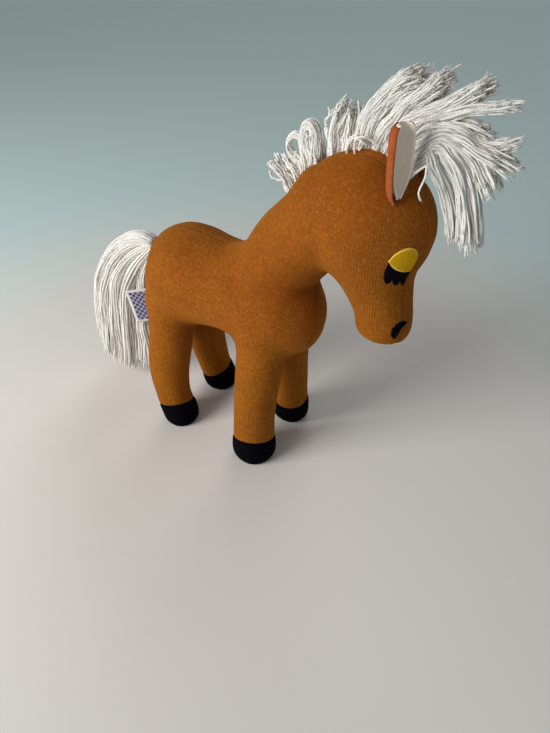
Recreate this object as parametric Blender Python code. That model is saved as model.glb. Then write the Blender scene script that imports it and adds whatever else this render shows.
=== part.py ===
"""A small stuffed horse in brushed knit, standing on four black hooves.

The knit skin is sewn from two side panels, a gusset under the body and a strip
down the face, over firm wads of filling.  The hooves are black caps, the ears
are lined felt, the face is cut from felt, and mane and tail are locks of white
yarn.  +X points to the nose, +Y to the horse's left and +Z up.  The soles stand
on Z = 0 and the origin is under the middle of the whole horse.
"""

import math

import bmesh
import bpy
import numpy as np
from mathutils import Matrix, Vector
from mathutils.bvhtree import BVHTree

MM = 0.001

# Cloth, and the gaps that keep neighbours apart
KNIT_THICKNESS = 1.2 * MM
FELT_THICKNESS = 0.9 * MM
LINING_THICKNESS = 0.8 * MM
SEAM_GAP = 0.5 * MM
SEAT_GAP = 0.35 * MM

# Torso, a tube from the rump to the chest
RUMP_X = -45.5 * MM
CHEST_X = 57.5 * MM
TORSO_HEIGHT = 92.5 * MM
TORSO_HALF_DEPTH = 28.0 * MM
TORSO_HALF_WIDTH = 25.0 * MM
TORSO_BOW = 3.0 * MM
# along the tube, offset across it, half depth, half width
TORSO_SHARES = (
    (0.000, -0.9, 0.16, 0.16),
    (0.018, -0.5, 0.42, 0.50),
    (0.075, 0.2, 0.69, 0.79),
    (0.172, 1.3, 0.94, 0.99),
    (0.325, 1.0, 0.93, 0.96),
    (0.478, 0.1, 0.90, 0.90),
    (0.622, 0.1, 0.98, 0.94),
    (0.756, 0.4, 1.00, 0.90),
    (0.880, 0.1, 0.86, 0.74),
    (0.967, -0.3, 0.55, 0.46),
    (1.000, -0.4, 0.16, 0.16),
)

# Neck, from between the shoulders to the middle of the skull
NECK_BASE_X = 16.0 * MM
NECK_BASE_RISE = 6.5 * MM
NECK_BASE_HEIGHT = TORSO_HEIGHT + NECK_BASE_RISE
SKULL_X = 66.0 * MM
SKULL_HEIGHT = 153.5 * MM
NECK_HALF_DEPTH = 25.5 * MM
NECK_HALF_WIDTH = 20.0 * MM
NECK_BOW = 2.0 * MM
NECK_SHARES = (
    (0.00, 0.0, 0.64, 0.80),
    (0.25, 0.6, 0.72, 0.86),
    (0.52, 1.0, 0.79, 0.87),
    (0.77, 0.6, 0.92, 0.92),
    (1.00, 0.0, 0.99, 0.97),
    (1.12, 0.0, 0.60, 0.60),
)

# Head, from the poll down to the lips
POLL_X = 70.0 * MM
POLL_HEIGHT = 177.5 * MM
LIPS_X = 88.0 * MM
LIPS_HEIGHT = 98.5 * MM
HEAD_HALF_DEPTH = 27.3 * MM
HEAD_HALF_WIDTH = 21.8 * MM
HEAD_BOW = 4.0 * MM
HEAD_SHARES = (
    (0.000, 0.00, 0.18, 0.26),
    (0.038, 0.08, 0.52, 0.60),
    (0.147, 0.10, 0.83, 0.89),
    (0.287, 0.33, 1.00, 1.00),
    (0.452, 0.60, 0.90, 0.93),
    (0.605, 0.78, 0.67, 0.77),
    (0.758, 0.85, 0.54, 0.64),
    (0.879, 0.75, 0.52, 0.59),
    (0.955, 0.28, 0.42, 0.51),
    (1.000, 0.00, 0.15, 0.18),
)

# Legs, from roots inside the body to ends just below the floor
LEG_ROOT_DROP = 4.5 * MM
LEG_ROOT_HEIGHT = TORSO_HEIGHT - LEG_ROOT_DROP
LEG_ROOT_SPREAD = 12.0 * MM
STANCE_HALF_WIDTH = 20.6 * MM
SOLE_OVERRUN = 1.6 * MM
FRONT_ROOT_X = 31.0 * MM
FRONT_HOOF_X = 28.0 * MM
HIND_ROOT_X = -36.0 * MM
HIND_HOOF_X = -28.0 * MM
LEG_HALF_DEPTH = 10.8 * MM
LEG_HALF_WIDTH = 10.8 * MM
FRONT_LEG_BOW = -0.5 * MM
HIND_LEG_BOW = -5.5 * MM
# down the leg, spread towards the stance, bow, half depth, half width
LEG_SHARES = (
    (0.00, 0.00, 0.00, 1.28, 1.14),
    (0.15, 0.04, 0.10, 1.22, 1.10),
    (0.34, 0.33, 0.55, 1.10, 1.02),
    (0.56, 0.68, 1.00, 1.01, 0.97),
    (0.78, 0.96, 0.60, 0.98, 0.96),
    (0.90, 1.00, 0.10, 1.05, 1.03),
    (0.96, 1.00, 0.00, 1.02, 1.00),
    (1.00, 1.00, 0.00, 0.84, 0.84),
)
HOOF_HEIGHT = 14.0 * MM
# the hoof's top edge rises outward, and forward on the hind legs
HOOF_OUTWARD_SLOPE_SHARE = 0.14
HIND_HOOF_FORWARD_SLOPE_SHARE = 0.17
LEG_WAD_DROP = 4.5 * MM
LEG_WAD_HEIGHT = TORSO_HEIGHT - TORSO_HALF_DEPTH - LEG_WAD_DROP

# The one form that all cloth and filling follow
RING_SIDES = 32
STATION_STEPS = 5
FORM_VOXEL = 2.6 * MM
FORM_SMOOTHING_STEPS = 10
FORM_DETAIL_SHARE = 0.072
MERGE_DISTANCE = 0.02 * MM

# Seams: the gusset's two edges rise from the soles and meet on the midline
GUSSET_FRONT_RISE = 27.5 * MM
GUSSET_REAR_DROP = 0.5 * MM
GUSSET_FRONT_HEIGHT = TORSO_HEIGHT + GUSSET_FRONT_RISE
GUSSET_REAR_HEIGHT = TORSO_HEIGHT - GUSSET_REAR_DROP
THROAT_SHARE = 0.2
FACE_STRIP_HALF_WIDTH = 5.5 * MM

# Where the wads of filling part
NECK_WAD_SHARE = 0.45
HEAD_WAD_SHARE = 0.50

# Felt eyelid and lash, cut to outlines around the middle of the eye
EYE_HEIGHT = 146.5 * MM
EYE_BEARING = -31.8
EYE_TURN = -44.0
EYELID_SIZE = 12.3 * MM
# towards the nose and up, from the middle of the eye
EYELID_UPPER_SHARES = (
    (-0.50, 0.00), (-0.37, 0.25), (-0.17, 0.41), (0.06, 0.48), (0.28, 0.40), (0.43, 0.23), (0.50, 0.01),
    (0.46, -0.23), (0.34, -0.50),
)
EYELID_LOWER_SHARES = ((-0.50, 0.00), (-0.37, -0.18), (-0.18, -0.34), (0.09, -0.46), (0.34, -0.50))
LASH_UPPER_SHARES = ((-0.55, -0.07), (-0.40, -0.21), (-0.20, -0.38), (0.07, -0.50), (0.32, -0.55))
LASH_LOWER_SHARES = (
    (-0.56, -0.16), (-0.54, -0.42), (-0.48, -0.63), (-0.40, -0.80), (-0.31, -0.86), (-0.25, -0.82),
    (-0.23, -0.67), (-0.19, -0.78), (-0.10, -0.91), (-0.01, -0.98), (0.05, -0.82), (0.11, -0.92),
    (0.22, -1.04), (0.27, -0.80), (0.32, -0.57),
)

# Felt nostril, a fat crescent
NOSTRIL_HEIGHT = 110.6 * MM
NOSTRIL_BEARING = -30.0
NOSTRIL_TURN = -42.0
NOSTRIL_SIZE = 7.5 * MM
NOSTRIL_OUTER_SHARES = (
    (-0.24, -0.55), (-0.43, -0.29), (-0.46, 0.03), (-0.33, 0.36), (-0.04, 0.57), (0.30, 0.56), (0.54, 0.41),
)
NOSTRIL_INNER_SHARES = (
    (-0.20, -0.53), (-0.13, -0.42), (-0.02, -0.13), (0.08, 0.07), (0.20, 0.20), (0.36, 0.26), (0.54, 0.38),
)
FELT_STEPS = 11
FELT_ROWS = 2

# Ear, a felt leaf rolled into a trough that opens forward and outward
EAR_ROOT_HEIGHT = 169.0 * MM
EAR_BEARING = -35.0
EAR_LENGTH = 27.5 * MM
EAR_RADIUS = 5.5 * MM
EAR_LEAN_BACK = 0.5 * MM
EAR_LEAN_OUT = 2.0 * MM
EAR_OPENS = -32.0
EAR_WRAP = 104.0
EAR_STEPS = 9
EAR_ROWS = 8
EAR_SINK = 1.0 * MM
LINING_FIRST_ROW = 1
# along the ear, radius
EAR_SHARES = (
    (0.00, 0.34), (0.09, 0.60), (0.19, 0.76), (0.33, 0.90), (0.50, 0.97), (0.70, 1.00), (0.88, 0.96),
    (0.96, 0.85), (1.00, 0.64),
)

# Mane, yarn locks fanned out around a point inside the head
MANE_CENTRE_X = 62.0 * MM
MANE_CENTRE_HEIGHT = 150.0 * MM
MANE_SWEEP_START = 22.0 * MM
MANE_SWEEP_LENGTH = 52.0 * MM
MANE_HALF_WIDTH = 12.5 * MM
MANE_LEAN = 8.0 * MM
MANE_ROOT_SINK = 3.0 * MM
LOCK_GAP = 0.6 * MM
LOCK_SIDES = 10
LOCK_STATION_STEPS = 2
SWING_GAP = 2.4 * MM
# bearings of the edges between locks at their roots and at their tips, from nape to brow
MANE_ROOT_BEARINGS = (169.0, 154.0, 137.0, 119.0, 102.0, 87.0, 74.0, 63.0, 55.0, 48.0, 41.0)
MANE_TIP_BEARINGS = (158.0, 139.0, 119.0, 101.0, 84.0, 68.0, 54.0, 41.0, 26.0, 7.0, -16.0)
MANE_REACH = 82.0 * MM
# root and tip radius from the middle of the fan, width and lean of each lock
MANE_LOCK_SHARES = (
    (0.30, 0.46, 0.60, 0.50),
    (0.26, 0.46, 0.70, 0.60),
    (0.26, 0.50, 0.80, 0.80),
    (0.28, 0.57, 0.95, 1.00),
    (0.32, 0.67, 1.00, 1.00),
    (0.36, 0.80, 1.00, 0.90),
    (0.42, 0.92, 1.00, 0.80),
    (0.46, 0.90, 1.00, 0.50),
    (0.46, 0.82, 0.95, 0.30),
    (0.46, 0.78, 0.90, 0.10),
)
# the rear locks lean together, the middle ones stand firm, the last ones are the forelock
REAR_LOCKS = 4
FORELOCKS = 3
NAPE_LEAN_LIMIT = 9.0
FORELOCK_LEAN_LIMIT = 8.0
# locks from this one on pass between the ears
FIRST_NARROW_LOCK = 5
# along a lock, its thickness, its width and its lean
WIDE_LOCK_SHARES = (
    (0.00, 0.50, 0.12, 0.00),
    (0.18, 0.80, 0.22, 0.02),
    (0.45, 1.00, 0.82, 0.20),
    (0.70, 0.98, 1.00, 0.55),
    (0.90, 0.80, 0.80, 0.86),
    (1.00, 0.34, 0.34, 1.00),
)
NARROW_LOCK_SHARES = (
    (0.00, 0.50, 0.12, 0.00),
    (0.18, 0.80, 0.22, 0.00),
    (0.45, 1.00, 0.44, 0.00),
    (0.62, 1.00, 0.60, 0.08),
    (0.80, 0.94, 0.98, 0.50),
    (0.92, 0.76, 0.86, 0.80),
    (1.00, 0.34, 0.36, 1.00),
)

# Tail, a hank of yarn bound to a knot on the rump
TAIL_KNOT_RISE = 13.5 * MM
TAIL_KNOT_HEIGHT = TORSO_HEIGHT + TAIL_KNOT_RISE
TAIL_KNOT_RADIUS = 4.4 * MM
TAIL_REACH = 39.0 * MM
TAIL_DROP = 92.0 * MM
TAIL_HALF_DEPTH = 19.0 * MM
TAIL_HALF_WIDTH = 14.0 * MM
TAIL_SIDE_LEAN = -3.0 * MM
TAIL_LOCKS = 5
# behind the knot, below it, half depth, half width
TAIL_SHARES = (
    (0.04, 0.00, 0.20, 0.26),
    (0.22, 0.03, 0.30, 0.46),
    (0.52, 0.17, 0.50, 0.72),
    (0.78, 0.40, 0.72, 0.95),
    (0.92, 0.63, 0.94, 1.00),
    (0.99, 0.85, 1.00, 0.96),
    (1.02, 1.00, 0.72, 0.70),
)
TAIL_EDGE_WIDTH_SHARE = 0.62

# Blank cloth label caught in the seam under the tail
LABEL_DROP = 19.5 * MM
LABEL_HEIGHT = TORSO_HEIGHT - LABEL_DROP
LABEL_WIDTH = 21.0 * MM
LABEL_REACH = 25.0 * MM
LABEL_THICKNESS = 0.8 * MM
LABEL_TURN = 27.0
LABEL_PITCH = 14.0
LABEL_CURL = 1.5 * MM
LABEL_STEPS = 5
LABEL_SEAT = SEAT_GAP + LABEL_THICKNESS / 2

UP = Vector((0.0, 0.0, 1.0))
LEFT = Vector((0.0, 1.0, 0.0))
# the sign turns a bearing given for the right side
SIDES = (("right", 1), ("left", -1))


def clear_scene():
    """Remove every object, so that the model starts from nothing."""
    for old in list(bpy.data.objects):
        bpy.data.objects.remove(old)


def material(name, colour, roughness):
    """Return a plain cloth material with the given colour."""
    made = bpy.data.materials.new(name)
    made.use_nodes = True
    shader = made.node_tree.nodes["Principled BSDF"]
    shader.inputs["Base Color"].default_value = (*colour, 1.0)
    shader.inputs["Roughness"].default_value = roughness
    shader.inputs["Metallic"].default_value = 0.0
    made.diffuse_color = (*colour, 1.0)
    return made


def heading(degrees):
    """Return the level direction at this turn from the nose, left being positive."""
    turn = math.radians(degrees)
    return Vector((math.cos(turn), math.sin(turn), 0.0))


def smooth_rows(rows, steps):
    """Carry a Catmull-Rom curve through the rows, with so many steps between two of them."""
    points = np.array(rows, dtype=float)
    padded = np.vstack([2 * points[0] - points[1], points, 2 * points[-1] - points[-2]])
    made = []
    for index in range(len(points) - 1):
        before, start, end, after = padded[index:index + 4]
        for share in np.linspace(0.0, 1.0, steps, endpoint=False):
            bend = -before + 3 * start - 3 * end + after
            turn = 2 * before - 5 * start + 4 * end - after
            made.append(start + 0.5 * share * ((end - before) + share * (turn + share * bend)))
    made.append(points[-1])
    return np.array(made)


def tube_stations(start, end, bow, half_depth, half_width, shares):
    """Return centre, half depth and half width along a bowed tube in the middle plane."""
    axis = end - start
    across = Vector((-axis.z, 0.0, axis.x)).normalized()
    stations = []
    for along, offset, depth, width in smooth_rows(shares, STATION_STEPS):
        centre = start + axis * along + across * (bow * offset)
        stations.append((centre, half_depth * depth, half_width * width))
    return stations


def leg_stations(root_x, hoof_x, bow, side):
    """Return the stations of one leg, whose foot stands wider than its root."""
    stations = []
    for down, spread, bend, depth, width in smooth_rows(LEG_SHARES, STATION_STEPS):
        x = root_x + (hoof_x - root_x) * down + bow * bend
        y = LEG_ROOT_SPREAD + (STANCE_HALF_WIDTH - LEG_ROOT_SPREAD) * spread
        z = LEG_ROOT_HEIGHT - (LEG_ROOT_HEIGHT + SOLE_OVERRUN) * down
        stations.append((Vector((x, side * y, z)), LEG_HALF_DEPTH * depth, LEG_HALF_WIDTH * width))
    return stations


def add_tube(mesh, stations, sides):
    """Add a closed tube of oval rings, each square to the path, to a bmesh."""
    rings = []
    for index, (centre, half_depth, half_width) in enumerate(stations):
        before = stations[max(index - 1, 0)][0]
        after = stations[min(index + 1, len(stations) - 1)][0]
        along = (after - before).normalized()
        depth_axis = LEFT.cross(along).normalized()
        ring = []
        for turn in np.linspace(0.0, 2 * math.pi, sides, endpoint=False):
            across = depth_axis * (half_depth * math.sin(turn)) + LEFT * (half_width * math.cos(turn))
            ring.append(mesh.verts.new(centre + across))
        rings.append(ring)
    for first, second in zip(rings, rings[1:]):
        for corner in range(sides):
            following = (corner + 1) % sides
            mesh.faces.new((first[corner], first[following], second[following], second[corner]))
    mesh.faces.new(rings[0])
    mesh.faces.new(rings[-1])


def finish(name, mesh, look, pivot=None):
    """Turn a bmesh into a smooth-shaded object with its faces outward, hung on its pivot."""
    bmesh.ops.remove_doubles(mesh, verts=mesh.verts, dist=MERGE_DISTANCE)
    bmesh.ops.triangulate(mesh, faces=mesh.faces)
    bmesh.ops.recalc_face_normals(mesh, faces=mesh.faces)
    carrier = pivot or assembly
    bmesh.ops.translate(mesh, verts=mesh.verts, vec=-pivot_place(carrier))
    data = bpy.data.meshes.new(name)
    mesh.to_mesh(data)
    mesh.free()
    data.shade_smooth()
    data.materials.append(look)
    made = bpy.data.objects.new(name, data)
    bpy.context.scene.collection.objects.link(made)
    made.parent = carrier
    return made


def pivot_place(carrier):
    """Return where a pivot stands in the horse's own frame."""
    place = Vector((0.0, 0.0, 0.0))
    while carrier is not None:
        place += carrier.location
        carrier = carrier.parent
    return place


def add_pivot(name, place, parent=None):
    """Add an empty on a joint's axis, which carries the pieces that turn there."""
    made = bpy.data.objects.new(name, None)
    made.empty_display_size = TAIL_KNOT_RADIUS
    bpy.context.scene.collection.objects.link(made)
    made.parent = parent or assembly
    made.location = place - pivot_place(made.parent)
    return made


def modified(mesh, *changes):
    """Run a bmesh through the modifiers that the changes add, and return the result."""
    data = bpy.data.meshes.new("work")
    mesh.to_mesh(data)
    mesh.free()
    holder = bpy.data.objects.new("work", data)
    bpy.context.scene.collection.objects.link(holder)
    for change in changes:
        change(holder)
    evaluated = holder.evaluated_get(bpy.context.evaluated_depsgraph_get())
    result = bmesh.new()
    result.from_mesh(evaluated.to_mesh())
    evaluated.to_mesh_clear()
    bpy.data.objects.remove(holder)
    bpy.data.meshes.remove(data)
    return result


def fuse(holder):
    """Fuse overlapping tubes into one skin of even cells."""
    remesh = holder.modifiers.new("fuse", "REMESH")
    remesh.mode = "VOXEL"
    remesh.voxel_size = FORM_VOXEL


def relax(holder):
    """Round the creases between the tubes, as tight filling does."""
    smooth = holder.modifiers.new("relax", "SMOOTH")
    smooth.factor = 0.5
    smooth.iterations = FORM_SMOOTHING_STEPS


def thin_out(holder):
    """Keep only as many faces as the form needs."""
    decimate = holder.modifiers.new("thin out", "DECIMATE")
    decimate.ratio = FORM_DETAIL_SHARE


def fill_open_loops(mesh):
    """Close every open loop with flat faces."""
    rim = [edge for edge in mesh.edges if edge.is_boundary]
    bmesh.ops.holes_fill(mesh, edges=rim)
    bmesh.ops.triangulate(mesh, faces=mesh.faces)
    mesh.normal_update()


def slice_off(mesh, place, normal):
    """Remove what lies on the normal's side of a plane, and leave the cut open."""
    everything = list(mesh.verts) + list(mesh.edges) + list(mesh.faces)
    bmesh.ops.bisect_plane(mesh, geom=everything, plane_co=place, plane_no=normal,
                           dist=MERGE_DISTANCE, clear_outer=True)


def build_form():
    """Return the outer form of the whole stuffed body, with flat soles."""
    mesh = bmesh.new()
    torso_start = Vector((RUMP_X, 0.0, TORSO_HEIGHT))
    torso_end = Vector((CHEST_X, 0.0, TORSO_HEIGHT))
    torso = tube_stations(torso_start, torso_end, TORSO_BOW, TORSO_HALF_DEPTH, TORSO_HALF_WIDTH,
                          TORSO_SHARES)
    neck = tube_stations(NECK_START, NECK_END, NECK_BOW, NECK_HALF_DEPTH, NECK_HALF_WIDTH, NECK_SHARES)
    head = tube_stations(HEAD_TOP, HEAD_BOTTOM, HEAD_BOW, HEAD_HALF_DEPTH, HEAD_HALF_WIDTH, HEAD_SHARES)
    for stations in (torso, neck, head):
        add_tube(mesh, stations, RING_SIDES)
    for side in (1, -1):
        add_tube(mesh, leg_stations(FRONT_ROOT_X, FRONT_HOOF_X, FRONT_LEG_BOW, side), RING_SIDES)
        add_tube(mesh, leg_stations(HIND_ROOT_X, HIND_HOOF_X, HIND_LEG_BOW, side), RING_SIDES)
    bmesh.ops.recalc_face_normals(mesh, faces=mesh.faces)
    mesh = modified(mesh, fuse, relax, thin_out)
    everything = list(mesh.verts) + list(mesh.edges) + list(mesh.faces)
    bmesh.ops.symmetrize(mesh, input=everything, direction="Y", dist=SEAM_GAP)
    slice_off(mesh, Vector((0.0, 0.0, 0.0)), -UP)
    fill_open_loops(mesh)
    bmesh.ops.recalc_face_normals(mesh, faces=mesh.faces)
    mesh.normal_update()
    return mesh


def swollen(form, distance):
    """Return a copy of the form with its surface moved outward by a distance."""
    mesh = form.copy()
    mesh.normal_update()
    for vert, place in [(vert, vert.co + vert.normal * distance) for vert in mesh.verts]:
        vert.co = place
    return mesh


def gusset_edge(point):
    """Return how far a point lies outside the nearer sewn edge of the gusset."""
    front = Vector((CHEST_X, 0.0, GUSSET_FRONT_HEIGHT))
    rear = Vector((RUMP_X, 0.0, GUSSET_REAR_HEIGHT))
    side = 1 if point.y >= 0 else -1
    foot = Vector((0.0, side * STANCE_HALF_WIDTH, 0.0))
    normal = (front - rear).cross(foot - rear).normalized()
    if normal.z < 0:
        normal.negate()
    return (point - rear).dot(normal), rear, normal


def above_hoof(point):
    """Return how far a point lies above the top edge of the nearest hoof."""
    side = 1 if point.y >= 0 else -1
    hind = point.x < 0
    middle = Vector((HIND_HOOF_X if hind else FRONT_HOOF_X, side * STANCE_HALF_WIDTH, HOOF_HEIGHT))
    forward_slope = HIND_HOOF_FORWARD_SLOPE_SHARE if hind else 0.0
    normal = Vector((-forward_slope, -side * HOOF_OUTWARD_SLOPE_SHARE, 1.0)).normalized()
    return (point - middle).dot(normal), middle, normal


def in_front(point):
    """Return how far a point lies in front of the line down the sides of the head."""
    return (point - HEAD_TOP).dot(HEAD_FRONT)


def cut_seam(mesh, place, normal, wanted):
    """Split the wanted faces along both edges of a seam."""
    for offset in (-SEAM_GAP / 2, SEAM_GAP / 2):
        faces = [face for face in mesh.faces if wanted(face.calc_center_median())]
        edges = {edge for face in faces for edge in face.edges}
        verts = {vert for face in faces for vert in face.verts}
        bmesh.ops.bisect_plane(mesh, geom=list(verts) + list(edges) + faces,
                               plane_co=place + normal * offset, plane_no=normal, dist=MERGE_DISTANCE)
    bmesh.ops.triangulate(mesh, faces=[face for face in mesh.faces if len(face.verts) > 3])


def panel_of(point):
    """Name the panel that covers a point of the form, or None in a seam."""
    half = SEAM_GAP / 2
    above = above_hoof(point)[0]
    if abs(above) < half:
        return None
    if above < 0:
        end = "front" if point.x > 0 else "hind"
        return f"hoof_{end}_{side_name(point)}"
    outside = gusset_edge(point)[0] if point.x < THROAT_X else SEAM_GAP
    if outside < -half:
        return "belly_gusset"
    front = in_front(point)
    if front > half and abs(point.y) < FACE_STRIP_HALF_WIDTH - half:
        return "face_strip"
    in_strip_seam = front > -half and abs(point.y) < FACE_STRIP_HALF_WIDTH + half
    if outside < half or in_strip_seam or abs(point.y) < half:
        return None
    return f"side_panel_{side_name(point)}"


def side_name(point):
    """Name the side of the horse on which a point lies."""
    return "left" if point.y > 0 else "right"


def rim_directions(faces):
    """Return, for each vertex on the rim of some faces, the direction that leads off them."""
    chosen = set(faces)
    directions = {}
    for face in faces:
        for loop in face.loops:
            if sum(1 for other in loop.edge.link_faces if other in chosen) == 1:
                start = loop.vert
                end = loop.link_loop_next.vert
                off = (end.co - start.co).cross(face.normal).normalized()
                for vert in (start, end):
                    directions[vert] = directions.get(vert, Vector((0.0, 0.0, 0.0))) + off
    return directions


def cloth(faces, thickness):
    """Return closed cloth of a thickness under some faces, which never flares past its own rim."""
    made = bmesh.new()
    chosen = set(faces)
    off_rim = rim_directions(faces)
    outer = {}
    inner = {}
    for vert in dict.fromkeys(vert for face in faces for vert in face.verts):
        depth = -vert.normal * thickness
        off = off_rim.get(vert, Vector((0.0, 0.0, 0.0))).normalized()
        depth -= off * max(depth.dot(off), 0.0)
        outer[vert] = made.verts.new(vert.co)
        inner[vert] = made.verts.new(vert.co + depth)
    for face in faces:
        made.faces.new([outer[vert] for vert in face.verts])
        made.faces.new([inner[vert] for vert in reversed(face.verts)])
        for loop in face.loops:
            if sum(1 for other in loop.edge.link_faces if other in chosen) == 1:
                start = loop.vert
                end = loop.link_loop_next.vert
                made.faces.new((outer[end], outer[start], inner[start], inner[end]))
    return made


def build_skin(form):
    """Cut the form along its seams and give every panel its thickness."""
    mesh = form.copy()
    side = FACE_STRIP_HALF_WIDTH
    for along in (1, -1):
        for sign in (1, -1):
            _, place, normal = above_hoof(Vector((along, sign, 0.0)))
            cut_seam(mesh, place, normal,
                     lambda point: along * point.x > 0 and sign * point.y > 0 and point.z < 2 * HOOF_HEIGHT)
    for sign in (1, -1):
        _, place, normal = gusset_edge(LEFT * sign)
        cut_seam(mesh, place, normal,
                 lambda point: sign * point.y > 0 and above_hoof(point)[0] > 0 and point.x < THROAT_X)
        cut_seam(mesh, LEFT * (sign * side), LEFT,
                 lambda point: sign * point.y > 0 and in_front(point) > -side and point.x > CHEST_X)
    cut_seam(mesh, HEAD_TOP, HEAD_FRONT,
             lambda point: abs(point.y) < 2 * side and abs(in_front(point)) < 2 * side)
    cut_seam(mesh, Vector((0.0, 0.0, 0.0)), LEFT,
             lambda point: (panel_of(point) or "side_panel").startswith("side_panel"))
    mesh.normal_update()
    panels = {}
    for face in mesh.faces:
        name = panel_of(face.calc_center_median())
        if name is not None:
            panels.setdefault(name, []).append(face)
    for name, faces in sorted(panels.items()):
        look = HOOF_BLACK if name.startswith("hoof") else KNIT_BROWN
        finish(name, cloth(faces, KNIT_THICKNESS), look)
    mesh.free()


def wad(core, name, cuts, wanted=None):
    """Cut one closed wad of filling out of the core."""
    mesh = core.copy()
    for place, normal in cuts:
        slice_off(mesh, place + normal * (-SEAM_GAP / 2), normal)
    if wanted is not None:
        spare = [face for face in mesh.faces if not wanted(face.calc_center_median())]
        bmesh.ops.delete(mesh, geom=spare, context="FACES")
    fill_open_loops(mesh)
    finish(name, mesh, FILLING_WHITE)


def build_filling(form):
    """Fill the skin with wads for the body, the neck, the head and each leg."""
    core = swollen(form, -(KNIT_THICKNESS + SEAT_GAP))
    leg_top = Vector((0.0, 0.0, LEG_WAD_HEIGHT))
    neck_place = NECK_START.lerp(NECK_END, NECK_WAD_SHARE)
    neck_along = (NECK_END - NECK_START).normalized()
    head_place = HEAD_TOP - HEAD_FRONT * (HEAD_HALF_DEPTH * HEAD_WAD_SHARE)
    wad(core, "filling_body", ((leg_top, -UP), (neck_place, neck_along)))
    wad(core, "filling_neck", ((neck_place, -neck_along), (head_place, HEAD_FRONT)))
    wad(core, "filling_head", ((head_place, -HEAD_FRONT),))
    for end, along in (("front", 1), ("hind", -1)):
        for side, across in (("left", 1), ("right", -1)):
            wad(core, f"filling_leg_{end}_{side}", ((leg_top, UP),),
                lambda point: along * point.x > 0 and across * point.y > 0)
    core.free()


def outline_row(shares, steps, curved):
    """Return points along an outline, evenly spaced on a curve or at its own corners."""
    if not curved:
        return np.array(shares, dtype=float)
    row = smooth_rows(shares, FELT_STEPS)
    length = np.concatenate([[0.0], np.cumsum(np.linalg.norm(np.diff(row, axis=0), axis=1))])
    wanted = np.linspace(0.0, length[-1], steps + 1)
    return np.column_stack([np.interp(wanted, length, row[:, column]) for column in range(2)])


def felt_patch(name, surface, look, spot, outward, size, first, second, curved=True):
    """Lay a felt shape on the head: rows between two outlines, dropped onto the form."""
    forward = Vector((abs(outward.y), -math.copysign(outward.x, outward.y), 0.0))
    steps = FELT_STEPS if curved else len(second) - 1
    upper = outline_row(first, steps, True)
    lower = outline_row(second, steps, curved)
    mesh = bmesh.new()
    grid = []
    for share in np.linspace(0.0, 1.0, FELT_ROWS + 1):
        row = []
        for along, up in upper * (1 - share) + lower * share:
            start = spot + forward * (size * along) + UP * (size * up) + outward * HEAD_HALF_DEPTH
            place = surface.ray_cast(start, -outward)[0]
            bottom = mesh.verts.new(place + outward * SEAT_GAP)
            top = mesh.verts.new(place + outward * (SEAT_GAP + FELT_THICKNESS))
            row.append((bottom, top))
        grid.append(row)
    close_sheet(mesh, grid)
    finish(name, mesh, look)


def close_sheet(mesh, grid):
    """Join a grid of bottom and top points into a closed sheet."""
    rows = len(grid)
    columns = len(grid[0])
    for row in range(rows - 1):
        for column in range(columns - 1):
            near = grid[row]
            far = grid[row + 1]
            corners = (near[column], far[column], far[column + 1], near[column + 1])
            mesh.faces.new([corner[1] for corner in corners])
            mesh.faces.new([corner[0] for corner in reversed(corners)])
    rim = [grid[0][column] for column in range(columns)]
    rim += [grid[row][-1] for row in range(1, rows)]
    rim += [grid[-1][column] for column in range(columns - 2, -1, -1)]
    rim += [grid[row][0] for row in range(rows - 2, 0, -1)]
    for first, second in zip(rim, rim[1:] + rim[:1]):
        mesh.faces.new((first[0], first[1], second[1], second[0]))


def skin_point(surface, height, outward):
    """Return the point of the head's skin at a height, straight out from the head's middle line."""
    middle = HEAD_TOP.lerp(HEAD_BOTTOM, (POLL_HEIGHT - height) / (POLL_HEIGHT - LIPS_HEIGHT))
    start = Vector((middle.x, 0.0, height)) + outward * (2 * HEAD_HALF_DEPTH)
    return surface.ray_cast(start, -outward)[0]


def build_face(surface):
    """Add the closed eyes and the nostrils."""
    for word, side in SIDES:
        eye_out = heading(side * EYE_TURN)
        eye = skin_point(surface, EYE_HEIGHT, heading(side * EYE_BEARING))
        felt_patch(f"eyelid_{word}", surface, FELT_YELLOW, eye, eye_out, EYELID_SIZE,
                   EYELID_UPPER_SHARES, EYELID_LOWER_SHARES)
        felt_patch(f"lash_{word}", surface, FELT_BLACK, eye, eye_out, EYELID_SIZE,
                   LASH_UPPER_SHARES, LASH_LOWER_SHARES, curved=False)
        nostril = skin_point(surface, NOSTRIL_HEIGHT, heading(side * NOSTRIL_BEARING))
        felt_patch(f"nostril_{word}", surface, FELT_BLACK, nostril, heading(side * NOSTRIL_TURN),
                   NOSTRIL_SIZE, NOSTRIL_OUTER_SHARES, NOSTRIL_INNER_SHARES)


def ear_leaf(root, axis, opens, inset, thickness, first_row):
    """Return one rolled leaf of cloth, set in from the ear's outer face."""
    side = axis.cross(opens).normalized()
    profile = smooth_rows(EAR_SHARES, EAR_ROWS)
    mesh = bmesh.new()
    grid = []
    for share in np.linspace(0.0, 1.0, EAR_ROWS)[first_row:]:
        radius = EAR_RADIUS * float(np.interp(share, profile[:, 0], profile[:, 1]))
        centre = root + axis * (EAR_LENGTH * share)
        row = []
        for turn in np.radians(np.linspace(-EAR_WRAP, EAR_WRAP, EAR_STEPS + 1)):
            out = side * math.sin(turn) - opens * math.cos(turn)
            outer = mesh.verts.new(centre + out * (radius - inset))
            inner = mesh.verts.new(centre + out * (radius - inset - thickness))
            row.append((inner, outer))
        grid.append(row)
    close_sheet(mesh, grid)
    return mesh


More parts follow.
